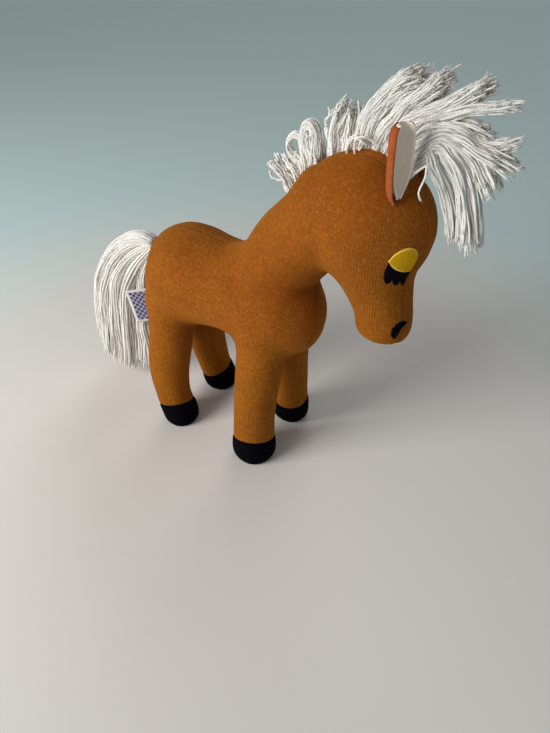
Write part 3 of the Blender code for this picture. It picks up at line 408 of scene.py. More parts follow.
# %% Knit, hoof cloth, felts, yarn and ribbon
def knit_material():
    """Brushed knit: stitches under a fluff of fibres, ochre on the legs and muzzle, painted shade in the
    folds, the hollows and on top of the head.
    """
    made, tree, shader, where = new_material("brushed_knit", 0.95, 0.18)
    shader.inputs["Specular IOR Level"].default_value = 0.08
    shader.inputs["Sheen Tint"].default_value = (1.0, 0.52, 0.05, 1.0)
    stitches = use_group(tree, KNIT_STITCHES, Cloth=cloth_place(tree))
    fuzz = use_group(tree, FIBRE_FUZZ, Place=where, Fibre=0.55, Patch=1.6)
    parts = tree.nodes.new("ShaderNodeSeparateXYZ")
    tree.links.new(where, parts.inputs[0])
    cloud = noise_node(tree, where, 75.0, 2.0)
    drift = math_node(tree, "MULTIPLY", math_node(tree, "SUBTRACT", cloud, 0.5), 0.05)
    rise = math_node(tree, "ADD", parts.outputs[2], drift)
    low = map_range(tree, rise, 0.092, 0.045)
    forward = math_node(tree, "ADD", parts.outputs[0], drift)
    ahead = map_range(tree, forward, 0.062, 0.080)
    muzzle = math_node(tree, "MULTIPLY", ahead, map_range(tree, rise, 0.150, 0.108))
    ochre = math_node(tree, "MAXIMUM", low, muzzle)
    colour = mix_colour(tree, ochre, (0.355, 0.107, 0.010, 1.0), (0.43, 0.160, 0.005, 1.0))
    # Painted shade: darker on top of the head, where the side light reaches less, and in the hollows and
    # throat stored on the skin; random browner patches of the knit's own tone mix in.
    shaded_crown = map_range(tree, rise, 0.135, 0.175, 0.0, 0.55)
    browner = map_range(tree, cloud, 0.46, 0.70, 0.0, 0.45)
    painted_shade_share = math_node(tree, "MAXIMUM", shaded_crown, point_value(tree, "painted_shade"))
    browner = math_node(tree, "MAXIMUM", browner, painted_shade_share)
    colour = mix_colour(tree, browner, colour, (0.25, 0.050, 0.004, 1.0))
    mottle = map_range(tree, fuzz.outputs["Mottle"], 0.36, 0.60, 0.40, 0.0)
    colour = mix_colour(tree, mottle, colour, (0.25, 0.060, 0.005, 1.0))
    face = math_node(tree, "MULTIPLY", map_range(tree, forward, 0.050, 0.068),
                     map_range(tree, rise, 0.172, 0.150))
    plain = map_range(tree, math_node(tree, "MAXIMUM", face, low), 0.0, 1.0, 0.30, 0.85)
    # Painted shade in the furrows between the wales, strongest on the face and the lower legs.
    furrow = math_node(tree, "MULTIPLY", stitches.outputs["Furrow"], plain)
    colour = mix_colour(tree, furrow, colour, (0.20, 0.045, 0.004, 1.0))
    grain = map_range(tree, fuzz.outputs["Height"], 0.48, 0.36, 0.0, 0.62)
    colour = mix_colour(tree, grain, colour, (0.20, 0.042, 0.003, 1.0))
    fleck = map_range(tree, fuzz.outputs["Height"], 0.53, 0.66, 0.0, 0.48)
    colour = mix_colour(tree, fleck, colour, (0.57, 0.24, 0.045, 1.0))
    # Painted highlight on the tops of the stitch loops, strongest on the face and the lower legs.
    tops = map_range(tree, stitches.outputs["Height"], 0.55, 1.0, 0.0, 0.55)
    loops = math_node(tree, "MULTIPLY", tops, plain)
    colour = mix_colour(tree, loops, colour, (0.62, 0.27, 0.045, 1.0))
    # Painted shade in the creases stored on the skin.
    folded = math_node(tree, "MULTIPLY", point_value(tree, "crease_shade"), 0.85)
    colour = mix_colour(tree, folded, colour, (0.17, 0.030, 0.004, 1.0))
    specks = tree.nodes.new("ShaderNodeTexVoronoi")
    put(tree, specks, ("Vector", where))
    put(tree, specks, ("Scale", 120.0))
    lint = map_range(tree, specks.outputs["Distance"], 0.030, 0.018, 0.0, 0.7)
    colour = mix_colour(tree, lint, colour, (0.72, 0.60, 0.46, 1.0))
    tree.links.new(colour, shader.inputs["Base Color"])
    height = math_node(tree, "ADD", math_node(tree, "MULTIPLY", stitches.outputs["Height"], 0.5),
                       math_node(tree, "MULTIPLY", fuzz.outputs["Height"], 0.5))
    bump(tree, shader, height, 0.30 * MM)
    return made


def yarn_material():
    """Soft white yarn: a shallow groove between the plies with painted shade in it, and light that passes a
    little way in.
    """
    made, tree, shader, where = new_material("white_yarn", 0.9, 0.1)
    shader.inputs["Subsurface Weight"].default_value = 0.5
    shader.inputs["Subsurface Radius"].default_value = (1.0, 0.95, 0.88)
    shader.inputs["Subsurface Scale"].default_value = 1.5 * MM
    twist = use_group(tree, YARN_TWIST, Strand=cloth_place(tree))
    patch = noise_node(tree, where, 130.0, 1.0)
    tone = map_range(tree, patch, 0.35, 0.65)
    colour = mix_colour(tree, tone, (0.90, 0.85, 0.78, 1.0), (0.94, 0.90, 0.85, 1.0))
    # Painted shade in the grooves between the plies.
    groove = math_node(tree, "MULTIPLY", twist.outputs["Groove"], 0.16)
    tree.links.new(mix_colour(tree, groove, colour, (0.76, 0.72, 0.66, 1.0)), shader.inputs["Base Color"])
    bump(tree, shader, twist.outputs["Height"], 0.07 * MM)
    return made


KNIT = knit_material()
HOOF_FELT = felt_material("black_hoof_felt", (0.003, 0.003, 0.005, 1.0), (0.002, 0.002, 0.004, 1.0),
                          fibre=0.5, relief=0.2)
YELLOW_FELT = felt_material("yellow_felt", (0.70, 0.385, 0.008, 1.0), (0.56, 0.275, 0.004, 1.0),
                            sheen=0.02, cut=(0.86, 0.68, 0.12, 1.0))
BLACK_FELT = felt_material("black_felt", (0.006, 0.005, 0.007, 1.0), (0.002, 0.002, 0.003, 1.0))
RUST_FELT = felt_material("rust_felt", (0.41, 0.105, 0.030, 1.0), (0.26, 0.055, 0.013, 1.0), sheen=0.08)
WHITE_FELT = felt_material("white_felt", (0.95, 0.83, 0.74, 1.0), (0.86, 0.72, 0.62, 1.0), sheen=0.08)
YARN = yarn_material()
print("materials:", len(bpy.data.materials))

# %% [markdown]
# ## The stuffed form
# The body is sewn from flat knit and stuffed hard, so its form is a few tubes that run into each
# other: a torso, a neck, a head and four legs. The same tables as in the CAD source give the stations
# of those tubes. A voxel remesh fuses them into one even skin, and smoothing rounds the creases.

# %% Stations of the tubes
ORIGIN_X = -8.95758 * MM
RUMP_X = ORIGIN_X - 45.5 * MM
CHEST_X = ORIGIN_X + 57.5 * MM
TORSO_HEIGHT = 92.5 * MM
HEAD_TOP = np.array([ORIGIN_X + 70.0 * MM, 0.0, 177.5 * MM])
HEAD_BOTTOM = np.array([ORIGIN_X + 88.0 * MM, 0.0, 98.5 * MM])
HEAD_HALF_DEPTH = 27.3 * MM
NECK_START = np.array([ORIGIN_X + 16.0 * MM, 0.0, 99.0 * MM])
NECK_END = np.array([ORIGIN_X + 66.0 * MM, 0.0, 153.5 * MM])
STANCE_HALF_WIDTH = 20.6 * MM
LEG_ROOT_SPREAD = 12.0 * MM
LEG_ROOT_HEIGHT = 88.0 * MM
LEG_HALF = 10.8 * MM
SOLE_OVERRUN = 1.6 * MM
FRONT_HOOF_X = ORIGIN_X + 28.0 * MM
HIND_HOOF_X = ORIGIN_X - 28.0 * MM
# root and foot of the front legs (1) and the hind legs (-1), and the bow between them
LEG_PLACES = {1: (ORIGIN_X + 29.8 * MM, FRONT_HOOF_X, -0.5 * MM),
              -1: (ORIGIN_X - 36.0 * MM, HIND_HOOF_X, -5.5 * MM)}
# along the tube, offset across it, half depth, half width
TORSO_SHARES = (
    (0.000, -0.9, 0.16, 0.16), (0.018, -0.5, 0.42, 0.50), (0.075, 0.2, 0.69, 0.79),
    (0.172, 1.55, 0.965, 0.99), (0.325, 1.35, 0.970, 0.96), (0.478, 1.36, 0.892, 0.90),
    (0.622, 0.95, 0.888, 0.94), (0.756, 0.4, 1.00, 0.90), (0.880, 0.1, 0.86, 0.74),
    (0.967, -0.3, 0.55, 0.46), (1.000, -0.4, 0.16, 0.16),
)
NECK_SHARES = (
    (0.00, 0.0, 0.64, 0.96), (0.25, 0.9, 0.735, 0.92), (0.52, 1.8, 0.80, 0.87), (0.77, 2.1, 0.76, 0.90),
    (1.00, 1.9, 0.84, 0.95), (1.12, 1.5, 0.52, 0.58),
)
HEAD_SHARES = (
    (0.000, 0.00, 0.18, 0.26), (0.038, 0.08, 0.52, 0.60), (0.147, 0.10, 0.83, 0.89),
    (0.287, 0.33, 1.00, 1.00), (0.420, 0.25, 1.000, 0.95), (0.500, 0.34, 0.880, 0.885),
    (0.580, 0.36, 0.715, 0.795), (0.660, 0.52, 0.590, 0.71), (0.758, 0.72, 0.52, 0.64),
    (0.879, 0.75, 0.49, 0.565), (0.960, 0.22, 0.470, 0.550), (1.000, 0.00, 0.22, 0.25),
)
# the crest between neck and head, which the filling holds up under the mane
CREST_START = np.array([33.0, 0.0, 157.5]) * MM
CREST_END = np.array([77.5, 0.0, 172.0]) * MM
CREST_SHARES = (
    (0.00, 0.0, 0.20, 0.25), (0.12, 0.0, 0.48, 0.60), (0.30, 0.0, 0.76, 0.86), (0.50, 0.0, 0.92, 0.98),
    (0.72, 0.0, 0.92, 0.95), (0.90, 0.0, 0.80, 0.80), (1.00, 0.0, 0.42, 0.42),
)
# the withers, where the back runs up into the neck
WITHERS_START = np.array([-18.0, 0.0, 104.5]) * MM
WITHERS_END = np.array([16.0, 0.0, 121.0]) * MM
WITHERS_SHARES = ((0.0, 0.0, 0.5, 0.5), (0.3, 0.0, 0.95, 0.95), (0.7, 0.0, 1.0, 1.0), (1.0, 0.0, 0.8, 0.8))
# the breast, which stands up before the neck
BREAST_START = np.array([-4.0, 0.0, 104.0]) * MM
BREAST_END = np.array([43.0, 0.0, 109.5]) * MM
BREAST_SHARES = (
    (0.00, 0.0, 0.45, 0.60), (0.20, 0.0, 0.85, 0.92), (0.50, 0.0, 1.00, 1.00), (0.75, 0.0, 0.94, 0.88),
    (0.90, 0.0, 0.72, 0.64), (1.00, 0.0, 0.38, 0.34),
)
# the haunches, which fill the notch between the rump and the thighs
HAUNCH_START = np.array([-59.5, 0.0, 90.0]) * MM
HAUNCH_END = np.array([-16.0, 0.0, 96.0]) * MM
HAUNCH_SHARES = (
    (0.00, 0.0, 0.20, 0.20), (0.05, 0.0, 0.48, 0.50), (0.17, 0.0, 0.78, 0.80), (0.40, 0.0, 1.00, 1.00),
    (0.70, 0.0, 1.00, 1.00), (1.00, 0.0, 0.60, 0.60),
)
# down the leg, spread towards the stance, bow, half depth, half width
FRONT_LEG_SHARES = (
    (0.00, 0.00, 0.00, 1.18, 1.08), (0.15, 0.12, 0.10, 1.13, 1.02), (0.34, 0.48, 0.55, 1.07, 0.97),
    (0.56, 0.78, 1.00, 0.99, 0.96), (0.78, 0.97, 0.60, 0.98, 0.96), (0.90, 1.00, 0.10, 1.05, 1.03),
    (0.96, 1.00, 0.00, 1.02, 1.01), (1.00, 1.00, 0.00, 0.88, 0.88),
)
HIND_LEG_SHARES = (
    (0.00, 0.00, -0.25, 1.40, 1.16), (0.15, 0.04, -0.14, 1.30, 1.14), (0.34, 0.33, 0.14, 1.31, 1.08),
    (0.56, 0.68, 0.82, 1.29, 1.00), (0.78, 0.96, 0.67, 1.06, 0.97), (0.90, 1.00, 0.10, 1.05, 1.03),
    (0.96, 1.00, 0.00, 1.03, 1.01), (1.00, 1.00, 0.00, 0.88, 0.88),
)
# the filling made one front leg stouter than the other
LEG_GIRTHS = {(1, -1): 1.16, (1, 1): 1.03, (-1, -1): 1.0, (-1, 1): 1.0}
# how far each foot stands from its even place, forward and to the left, in millimetres
FOOT_SHIFTS = {(1, -1): (-0.9, 1.3), (1, 1): (-0.2, 0.3), (-1, -1): (0.0, 0.0), (-1, 1): (0.0, 0.0)}
STATIONS = 48
RING_SIDES = 36
LEFT = np.array([0.0, 1.0, 0.0])
UP = np.array([0.0, 0.0, 1.0])


def oval_tube(centres, half_depths, half_widths):
    """Rings square to a path: centre + depth axis x half depth x sine + left x half width x cosine."""
    along = unit(np.gradient(centres, axis=0))
    depth_axis = unit(np.cross(LEFT, along))
    turn = np.linspace(0.0, 2 * math.pi, RING_SIDES, endpoint=False)
    deep = depth_axis[:, None] * (half_depths[:, None] * np.sin(turn))[..., None]
    wide = LEFT * (half_widths[:, None] * np.cos(turn))[..., None]
    return centres[:, None] + deep + wide


def straight_tube(start, end, bow, half_depth, half_width, shares):
    """A tube from start to end, bowed across its line in the middle plane."""
    along, offset, depth, width = curve_through(shares, STATIONS).T
    across = unit(np.cross(end - start, LEFT))
    centres = start + along[:, None] * (end - start) + (bow * offset)[:, None] * across
    return oval_tube(centres, half_depth * depth, half_width * width)


def leg_tube(end, side):
    """A tube down one leg, whose foot stands wider than its root and ends just below the floor."""
    root_x, hoof_x, bow = LEG_PLACES[end]
    half = LEG_HALF * LEG_GIRTHS[end, side]
    shares = FRONT_LEG_SHARES if end > 0 else HIND_LEG_SHARES
    down, spread, bend, depth, width = curve_through(shares, STATIONS).T
    forward, leftward = FOOT_SHIFTS[end, side]
    x = root_x + (hoof_x - root_x + forward * MM) * down + bow * bend
    y = LEG_ROOT_SPREAD + (STANCE_HALF_WIDTH - LEG_ROOT_SPREAD) * spread + side * leftward * MM * down
    z = LEG_ROOT_HEIGHT - (LEG_ROOT_HEIGHT + SOLE_OVERRUN) * down
    return oval_tube(np.column_stack([x, side * y, z]), half * depth, half * width)


def closed_tubes(tubes):
    """Join tubes of rings into one set of points and faces, with a point that closes each end."""
    points, quads, triangles = [], [], []
    count = 0
    for rings in tubes:
        rows, columns, _ = rings.shape
        quads.append(grid_quads(rows, columns, True) + count)
        corner = np.arange(columns)
        following = (corner + 1) % columns
        last = (rows - 1) * columns
        start_pole = np.full(columns, rows * columns)
        end_pole = start_pole + 1
        triangles.append(np.column_stack([following, corner, start_pole]) + count)
        triangles.append(np.column_stack([last + corner, last + following, end_pole]) + count)
        points.append(np.vstack([rings.reshape(-1, 3), rings[0].mean(axis=0), rings[-1].mean(axis=0)]))
        count += rows * columns + 2
    return np.vstack(points), np.vstack(quads), np.vstack(triangles)


# %% Fuse the tubes into one skin
FORM_VOXEL = 2.0 * MM
FORM_SMOOTHING = 14
START_SHRINK = 0.25 * MM


def build_form():
    """Return the fused and rounded form as a mesh of even cells."""
    torso_start = np.array([RUMP_X, 0.0, TORSO_HEIGHT])
    torso_end = np.array([CHEST_X, 0.0, TORSO_HEIGHT])
    tubes = [straight_tube(torso_start, torso_end, 3.0 * MM, 28.0 * MM, 25.0 * MM, TORSO_SHARES),
             straight_tube(NECK_START, NECK_END, 2.0 * MM, 25.5 * MM, 20.0 * MM, NECK_SHARES),
             straight_tube(HEAD_TOP, HEAD_BOTTOM, 4.0 * MM, HEAD_HALF_DEPTH, 21.8 * MM, HEAD_SHARES)]
    tubes.append(straight_tube(CREST_START, CREST_END, 0.0, 15.2 * MM, 16.0 * MM, CREST_SHARES))
    tubes.append(straight_tube(WITHERS_START, WITHERS_END, 0.0, 10.4 * MM, 15.5 * MM, WITHERS_SHARES))
    tubes.append(straight_tube(BREAST_START, BREAST_END, 0.0, 11.5 * MM, 20.0 * MM, BREAST_SHARES))
    tubes.append(straight_tube(HAUNCH_START, HAUNCH_END, 0.0, 27.0 * MM, 24.0 * MM, HAUNCH_SHARES))
    tubes += [leg_tube(end, side) for end in (1, -1) for side in (1, -1)]
    holder = hold(mesh_from("form", *closed_tubes(tubes)))
    fuse = holder.modifiers.new("fuse", "REMESH")
    fuse.mode = "VOXEL"
    fuse.voxel_size = FORM_VOXEL
    relax = holder.modifiers.new("relax", "SMOOTH")
    relax.factor = 0.5
    relax.iterations = FORM_SMOOTHING
    return settled(holder)


form = build_form()
print("form:", len(form.vertices), "points, low", mesh_points(form).min(axis=0) / MM,
      "high", mesh_points(form).max(axis=0) / MM)

# %% [markdown]
# ## Tight filling
# Filling presses the skin outward everywhere except where a seam or a sole holds it. That is what
# Blender's cloth simulation does when it has pressure and no gravity. The skin starts a little too
# small, its seam lines and soles are pinned, and after a few frames it has swollen between them. No
# point may move further than a cap, so the horse keeps its size. The simulated places are then kept
# as plain points, and the modifier goes.

# %% Where the seams run
GUSSET_FRONT = np.array([CHEST_X, 0.0, 120.0 * MM])
GUSSET_REAR = np.array([RUMP_X, 0.0, 92.0 * MM])
THROAT_X = ORIGIN_X + 63.6 * MM
HEAD_FRONT = unit(np.array([HEAD_TOP[2] - HEAD_BOTTOM[2], 0.0, HEAD_BOTTOM[0] - HEAD_TOP[0]]))
STRIP_HALF_WIDTH = 5.5 * MM
HOOF_HEIGHT = 14.0 * MM
# how steeply a hoof's top edge rises forward and outward; end is 1 in front and -1 behind
HOOF_SLOPES = {(1, -1): (0.21, 0.37), (1, 1): (0.0, 0.14), (-1, -1): (0.34, 0.25), (-1, 1): (0.34, 0.25)}


def gusset_plane(side):
    """Return a place on the gusset's sewn edge of one side, and the direction away from the gusset."""
    foot = np.array([ORIGIN_X, side * STANCE_HALF_WIDTH, 0.0])
    normal = unit(np.cross(GUSSET_FRONT - GUSSET_REAR, foot - GUSSET_REAR))
    return GUSSET_REAR, normal if normal[2] > 0 else -normal


def hoof_plane(end, side):
    """Return the middle of a hoof's top edge and the edge's upward normal; end is 1 in front, -1 behind."""
    middle = np.array([FRONT_HOOF_X if end > 0 else HIND_HOOF_X, side * STANCE_HALF_WIDTH, HOOF_HEIGHT])
    forward_slope, outward_slope = HOOF_SLOPES[end, side]
    return middle, unit(np.array([-forward_slope, -side * outward_slope, 1.0]))


def outside_gusset(points):
    """Return how far points lie outside the gusset's nearer edge, or far outside in front of the throat."""
    far = [(points - place) @ normal for place, normal in (gusset_plane(1), gusset_plane(-1))]
    outside = np.where(points[:, 1] >= 0, far[0], far[1])
    return np.where(points[:, 0] < THROAT_X, outside, 1.0)


def above_hoof(points):
    """Return how far points lie above the top edge of the nearest hoof."""
    above = np.zeros(len(points))
    for end in (1, -1):
        for side in (1, -1):
            place, normal = hoof_plane(end, side)
            mine = ((points[:, 0] > ORIGIN_X) == (end > 0)) & ((points[:, 1] >= 0) == (side > 0))
            above[mine] = ((points - place) @ normal)[mine]
    return above


def in_front(points):
    """Return how far points lie in front of the line down the sides of the head."""
    return (points - HEAD_TOP) @ HEAD_FRONT


def near_seams(points):
    """Return how far points lie from the nearest seam, roughly."""
    hoof = np.abs(above_hoof(points))
    gusset = np.abs(outside_gusset(points))
    front = in_front(points)
    strip = np.maximum(np.abs(np.abs(points[:, 1]) - STRIP_HALF_WIDTH), -front)
    middle = np.where((front < 0) & (outside_gusset(points) > 0), np.abs(points[:, 1]), 1.0)
    return np.minimum(np.minimum(hoof, gusset), np.minimum(strip, middle))


# %% Swell the skin
SWELL_FRAMES = 10
SWELL_CAP = 1.5 * MM
PINNED_WITHIN = 1.3 * MM
FILLING_PRESSURE = 12000.0


def swell(mesh):
    """Let pressure swell the skin between its seams and soles, and return its new points."""
    start = mesh_points(mesh) - mesh_normals(mesh) * START_SHRINK
    start[:, 2] = np.maximum(start[:, 2], 0.0)
    mesh.vertices.foreach_set("co", start.astype(np.float32).ravel())
    holder = hold(mesh)
    sewn = holder.vertex_groups.new(name="sewn")
    pinned = np.flatnonzero((near_seams(start) < PINNED_WITHIN) | (start[:, 2] < 0.3 * MM))
    sewn.add(pinned.tolist(), 1.0, "REPLACE")
    cloth = holder.modifiers.new("filling", "CLOTH")
    cloth.settings.quality = 3
    cloth.settings.mass = 0.001
    cloth.settings.tension_stiffness = 15.0
    cloth.settings.compression_stiffness = 15.0
    cloth.settings.shear_stiffness = 5.0
    cloth.settings.bending_stiffness = 0.5
    cloth.settings.vertex_group_mass = sewn.name
    cloth.settings.use_pressure = True
    cloth.settings.uniform_pressure_force = FILLING_PRESSURE
    cloth.settings.effector_weights.gravity = 0.0
    cloth.collision_settings.use_collision = False
    for number in range(1, SWELL_FRAMES + 1):
        bpy.context.scene.frame_set(number)
    done = settled(holder)
    bpy.context.scene.frame_set(1)
    move = mesh_points(done) - start
    far = np.linalg.norm(move, axis=1, keepdims=True)
    print("pressure moved the skin by up to", round(far.max() / MM, 2), "mm, half of it by",
          round(float(np.median(far)) / MM, 2))
    return start + move * np.minimum(1.0, SWELL_CAP / np.maximum(far, 1e-9))


swollen_points = swell(form)
swollen_points[:, 2] = np.maximum(swollen_points[:, 2], 0.0)
form.vertices.foreach_set("co", swollen_points.astype(np.float32).ravel())
form.update()
skin_holder = hold(form)
finer = skin_holder.modifiers.new("finer", "SUBSURF")
finer.levels = 1
finer.render_levels = 1
skin = settled(skin_holder)
print("skin:", len(skin.vertices), "points")

# %% [markdown]
# ## Panels
# The skin is cut where the real one is sewn: along the back, along both edges of the gusset under the
# body, down both sides of the face and round the top of each hoof. Points that lie almost on a cut are
# first slid onto it, so that no slivers are left.

# %% Cut the skin along its seams
SNAP_WITHIN = 0.3 * MM
CUT_REACH = 2.5 * MM
MERGE_DISTANCE = 0.02 * MM


def polygon_centres(mesh):
    """Return the middles of a mesh's faces."""
    centres = np.zeros(len(mesh.polygons) * 3, dtype=np.float32)
    mesh.polygons.foreach_get("center", centres)
    return centres.reshape(-1, 3).astype(float)


def cut_along(mesh, place, normal, wanted):
    """Split the wanted faces of a mesh where a plane crosses them."""
    points = mesh_points(mesh)
    normals = mesh_normals(mesh)
    away = (points - place) @ normal
    slide = normal - normals * (normals @ normal)[:, None]
    room = (slide * slide).sum(axis=1)
    near = (np.abs(away) < SNAP_WITHIN) & wanted(points) & (room > 0.3)
    points[near] -= slide[near] * (away[near] / room[near])[:, None]
    mesh.vertices.foreach_set("co", points.astype(np.float32).ravel())
    mesh.update()
    centres = polygon_centres(mesh)
    chosen = np.flatnonzero((np.abs((centres - place) @ normal) < CUT_REACH) & wanted(centres))
    work = bmesh.new()
    work.from_mesh(mesh)
    work.faces.ensure_lookup_table()
    faces = [work.faces[index] for index in chosen.tolist()]
    edges = list({edge for face in faces for edge in face.edges})
    verts = list({vert for face in faces for vert in face.verts})
    bmesh.ops.bisect_plane(work, geom=verts + edges + faces, plane_co=place, plane_no=normal,
                           dist=MERGE_DISTANCE)
    bmesh.ops.triangulate(work, faces=[face for face in work.faces if len(face.verts) > 4])
    work.to_mesh(mesh)
    work.free()
    mesh.update()


for end in (1, -1):
    for side in (1, -1):
        cut_along(skin, *hoof_plane(end, side), lambda points: (
            ((points[:, 0] - ORIGIN_X) * end > 0) & (points[:, 1] * side > 0)
            & (points[:, 2] < 2 * HOOF_HEIGHT)))
for side in (1, -1):
    cut_along(skin, *gusset_plane(side), lambda points: (
        (points[:, 1] * side > 0) & (above_hoof(points) > 0) & (points[:, 0] < THROAT_X)))
    cut_along(skin, LEFT * (side * STRIP_HALF_WIDTH), LEFT, lambda points: (
        (points[:, 1] * side > 0) & (in_front(points) > -STRIP_HALF_WIDTH) & (points[:, 0] > CHEST_X)))
cut_along(skin, HEAD_TOP, HEAD_FRONT, lambda points: (
    (np.abs(points[:, 1]) < 2 * STRIP_HALF_WIDTH) & (np.abs(in_front(points)) < 2 * STRIP_HALF_WIDTH)))
cut_along(skin, np.zeros(3), LEFT, lambda points: (
    (outside_gusset(points) > -MM) & (in_front(points) < MM)))
print("skin after its cuts:", len(skin.vertices), "points")

# %% Sort the faces into panels
SIDE_RIGHT, SIDE_LEFT, UNDER_BODY, FACE_STRIP, FIRST_HOOF = range(5)


def panel_of(points):
    """Number the panel that covers each of some points."""
    left = points[:, 1] > 0
    found = np.where(left, SIDE_LEFT, SIDE_RIGHT)
    found = np.where((in_front(points) > 0) & (np.abs(points[:, 1]) < STRIP_HALF_WIDTH), FACE_STRIP, found)
    found = np.where(outside_gusset(points) < 0, UNDER_BODY, found)
    hoof = FIRST_HOOF + 2 * (points[:, 0] < ORIGIN_X) + left
    return np.where(above_hoof(points) < 0, hoof, found)


def face_corners(mesh):
    """Return a mesh's quads and triangles, and the numbers of the faces they are."""
    total = np.zeros(len(mesh.polygons), dtype=np.int32)
    start = np.zeros(len(mesh.polygons), dtype=np.int32)
    corners = np.zeros(len(mesh.loops), dtype=np.int32)
    mesh.polygons.foreach_get("loop_total", total)
    mesh.polygons.foreach_get("loop_start", start)
    mesh.loops.foreach_get("vertex_index", corners)
    fours, threes = np.flatnonzero(total == 4), np.flatnonzero(total == 3)
    return (corners[start[fours][:, None] + np.arange(4)], corners[start[threes][:, None] + np.arange(3)],
            fours, threes)


skin_points = mesh_points(skin)
skin_quads, skin_triangles, quad_numbers, triangle_numbers = face_corners(skin)
face_panels = panel_of(polygon_centres(skin))
quad_panels, triangle_panels = face_panels[quad_numbers], face_panels[triangle_numbers]


def directed_edges(quads, triangles):
    """Return the edges of faces in the direction that each face runs round."""
    parts = [np.stack([quads, np.roll(quads, -1, axis=1)], axis=-1).reshape(-1, 2),
             np.stack([triangles, np.roll(triangles, -1, axis=1)], axis=-1).reshape(-1, 2)]
    return np.vstack(parts)


skin_edges = directed_edges(skin_quads, skin_triangles)
edge_panels = np.concatenate([np.repeat(quad_panels, 4), np.repeat(triangle_panels, 3)])
edge_keys = np.sort(skin_edges, axis=1) @ np.array([len(skin_points), 1])
key_order = np.argsort(edge_keys, kind="stable")
pairs = key_order[: 2 * (len(key_order) // 2)].reshape(-1, 2)
plain_edges = skin_edges[pairs[:, 0]]
on_seam = edge_panels[pairs[:, 0]] != edge_panels[pairs[:, 1]]
seam_points = np.unique(plain_edges[on_seam])
hoof_seam = on_seam & (np.maximum(edge_panels[pairs[:, 0]], edge_panels[pairs[:, 1]]) >= FIRST_HOOF)
edge_lengths = np.linalg.norm(np.diff(skin_points[plain_edges], axis=1)[:, 0], axis=1)
print("faces in the panels:", np.bincount(face_panels).tolist(), "; points on seams:", len(seam_points),
      "; edges pair up:", bool((edge_keys[pairs[:, 0]] == edge_keys[pairs[:, 1]]).all()))

# %% [markdown]
# ## Seams, folds and lumps
# At a seam the cloth turns inward and meets its neighbour, so the surface rolls into a narrow groove,
# with a low swelling and small puckers beside it. How deep a point lies follows from its distance to
# the seam along the surface. That distance is found by relaxing along the edges: again and again, a
# point takes its neighbour's distance plus the edge between them, if that is shorter.

# %% Distance from the seams
RELAX_ROUNDS = 14


def distance_along(start_points, rounds):
    """Relax distances along the edges, outward from the points where they start at nothing."""
    far = np.full(len(skin_points), 1.0)
    far[start_points] = 0.0
    first, second = plain_edges.T
    for _ in range(rounds):
        near_first, near_second = far[second] + edge_lengths, far[first] + edge_lengths
        np.minimum.at(far, first, near_first)
        np.minimum.at(far, second, near_second)
    return far


def averaged(values, rounds):
    """Replace each point's value by its neighbours' mean, again and again."""
    first, second = plain_edges.T
    count = len(skin_points)
    share = np.bincount(first, minlength=count) + np.bincount(second, minlength=count)
    for _ in range(rounds):
        total = np.bincount(first, values[second], count) + np.bincount(second, values[first], count)
        values = total / share
    return values


def soft_waves(points, length, seed):
    """A gentle random relief from -1 to 1: sine waves of one length, each in a random direction."""
    draw = np.random.default_rng(seed)
    waves = unit(draw.normal(size=(14, 3))) * (2 * math.pi / length) * draw.uniform(0.7, 1.4, size=(14, 1))
    return np.sin(points @ waves.T + draw.uniform(0.0, 2 * math.pi, 14)).mean(axis=1) * 2.2


seam_distance = distance_along(seam_points, RELAX_ROUNDS)
skin_normals = mesh_normals(skin)
smooth_normals = unit(np.column_stack([averaged(skin_normals[:, axis], 2) for axis in range(3)]))
mean_place = np.column_stack([averaged(skin_points[:, axis], 1) for axis in range(3)])
hollow = averaged(((mean_place - skin_points) * skin_normals).sum(axis=1), 12)
print("hollows in micrometres, 50th to 99th percentile:",
      [round(float(np.percentile(hollow, share)) * 1e6, 1) for share in (50, 90, 95, 99, 99.9)])

# %% Roll the cloth into its seams
KNIT_ROLL = 0.8 * MM
KNIT_GROOVE = 0.16 * MM
HOOF_ROLL = 1.3 * MM
HOOF_GROOVE = 0.45 * MM
HOOF_PROUD = 0.35 * MM


def relief():
    """Return how far each point of the skin rises: groove, swelling, puckers, folds and lumps."""
    hoof_distance = distance_along(np.unique(plain_edges[hoof_seam]), RELAX_ROUNDS)
    at_hoof = hoof_distance < seam_distance + 0.1 * MM
    roll = np.where(at_hoof, HOOF_ROLL, KNIT_ROLL)
    groove = np.where(at_hoof, HOOF_GROOVE, KNIT_GROOVE)
    share = np.clip(1 - seam_distance / roll, 0.0, 1.0)
    rise = -groove * share ** 2
    beside = np.exp(-((seam_distance - 2.6 * MM) / (1.5 * MM)) ** 2)
    rise += beside * np.where(at_hoof, 0.03, 0.05) * MM
    pucker = np.exp(-seam_distance / (2.2 * MM)) * (share < 1)
    rise += pucker * soft_waves(skin_points, 3.2 * MM, 3) * np.where(at_hoof, 0.05, 0.07) * MM
    rise += soft_waves(skin_points, 17 * MM, 5) * 0.22 * MM * np.clip(seam_distance / (8 * MM), 0, 1)
    return rise


# how far a point must lie below its neighbours, in metres, to be darkened with painted shade as a crease or
# as a broad hollow
CREASE_HOLLOW = 16e-6
SHADE_HOLLOW = 9e-6
# a painted shadow of the head darkens the knit most where the neck meets the chest
THROAT = np.array([38.0, 0.0, 116.0]) * MM
THROAT_REACH = 25.0 * MM
skin_rise = relief()
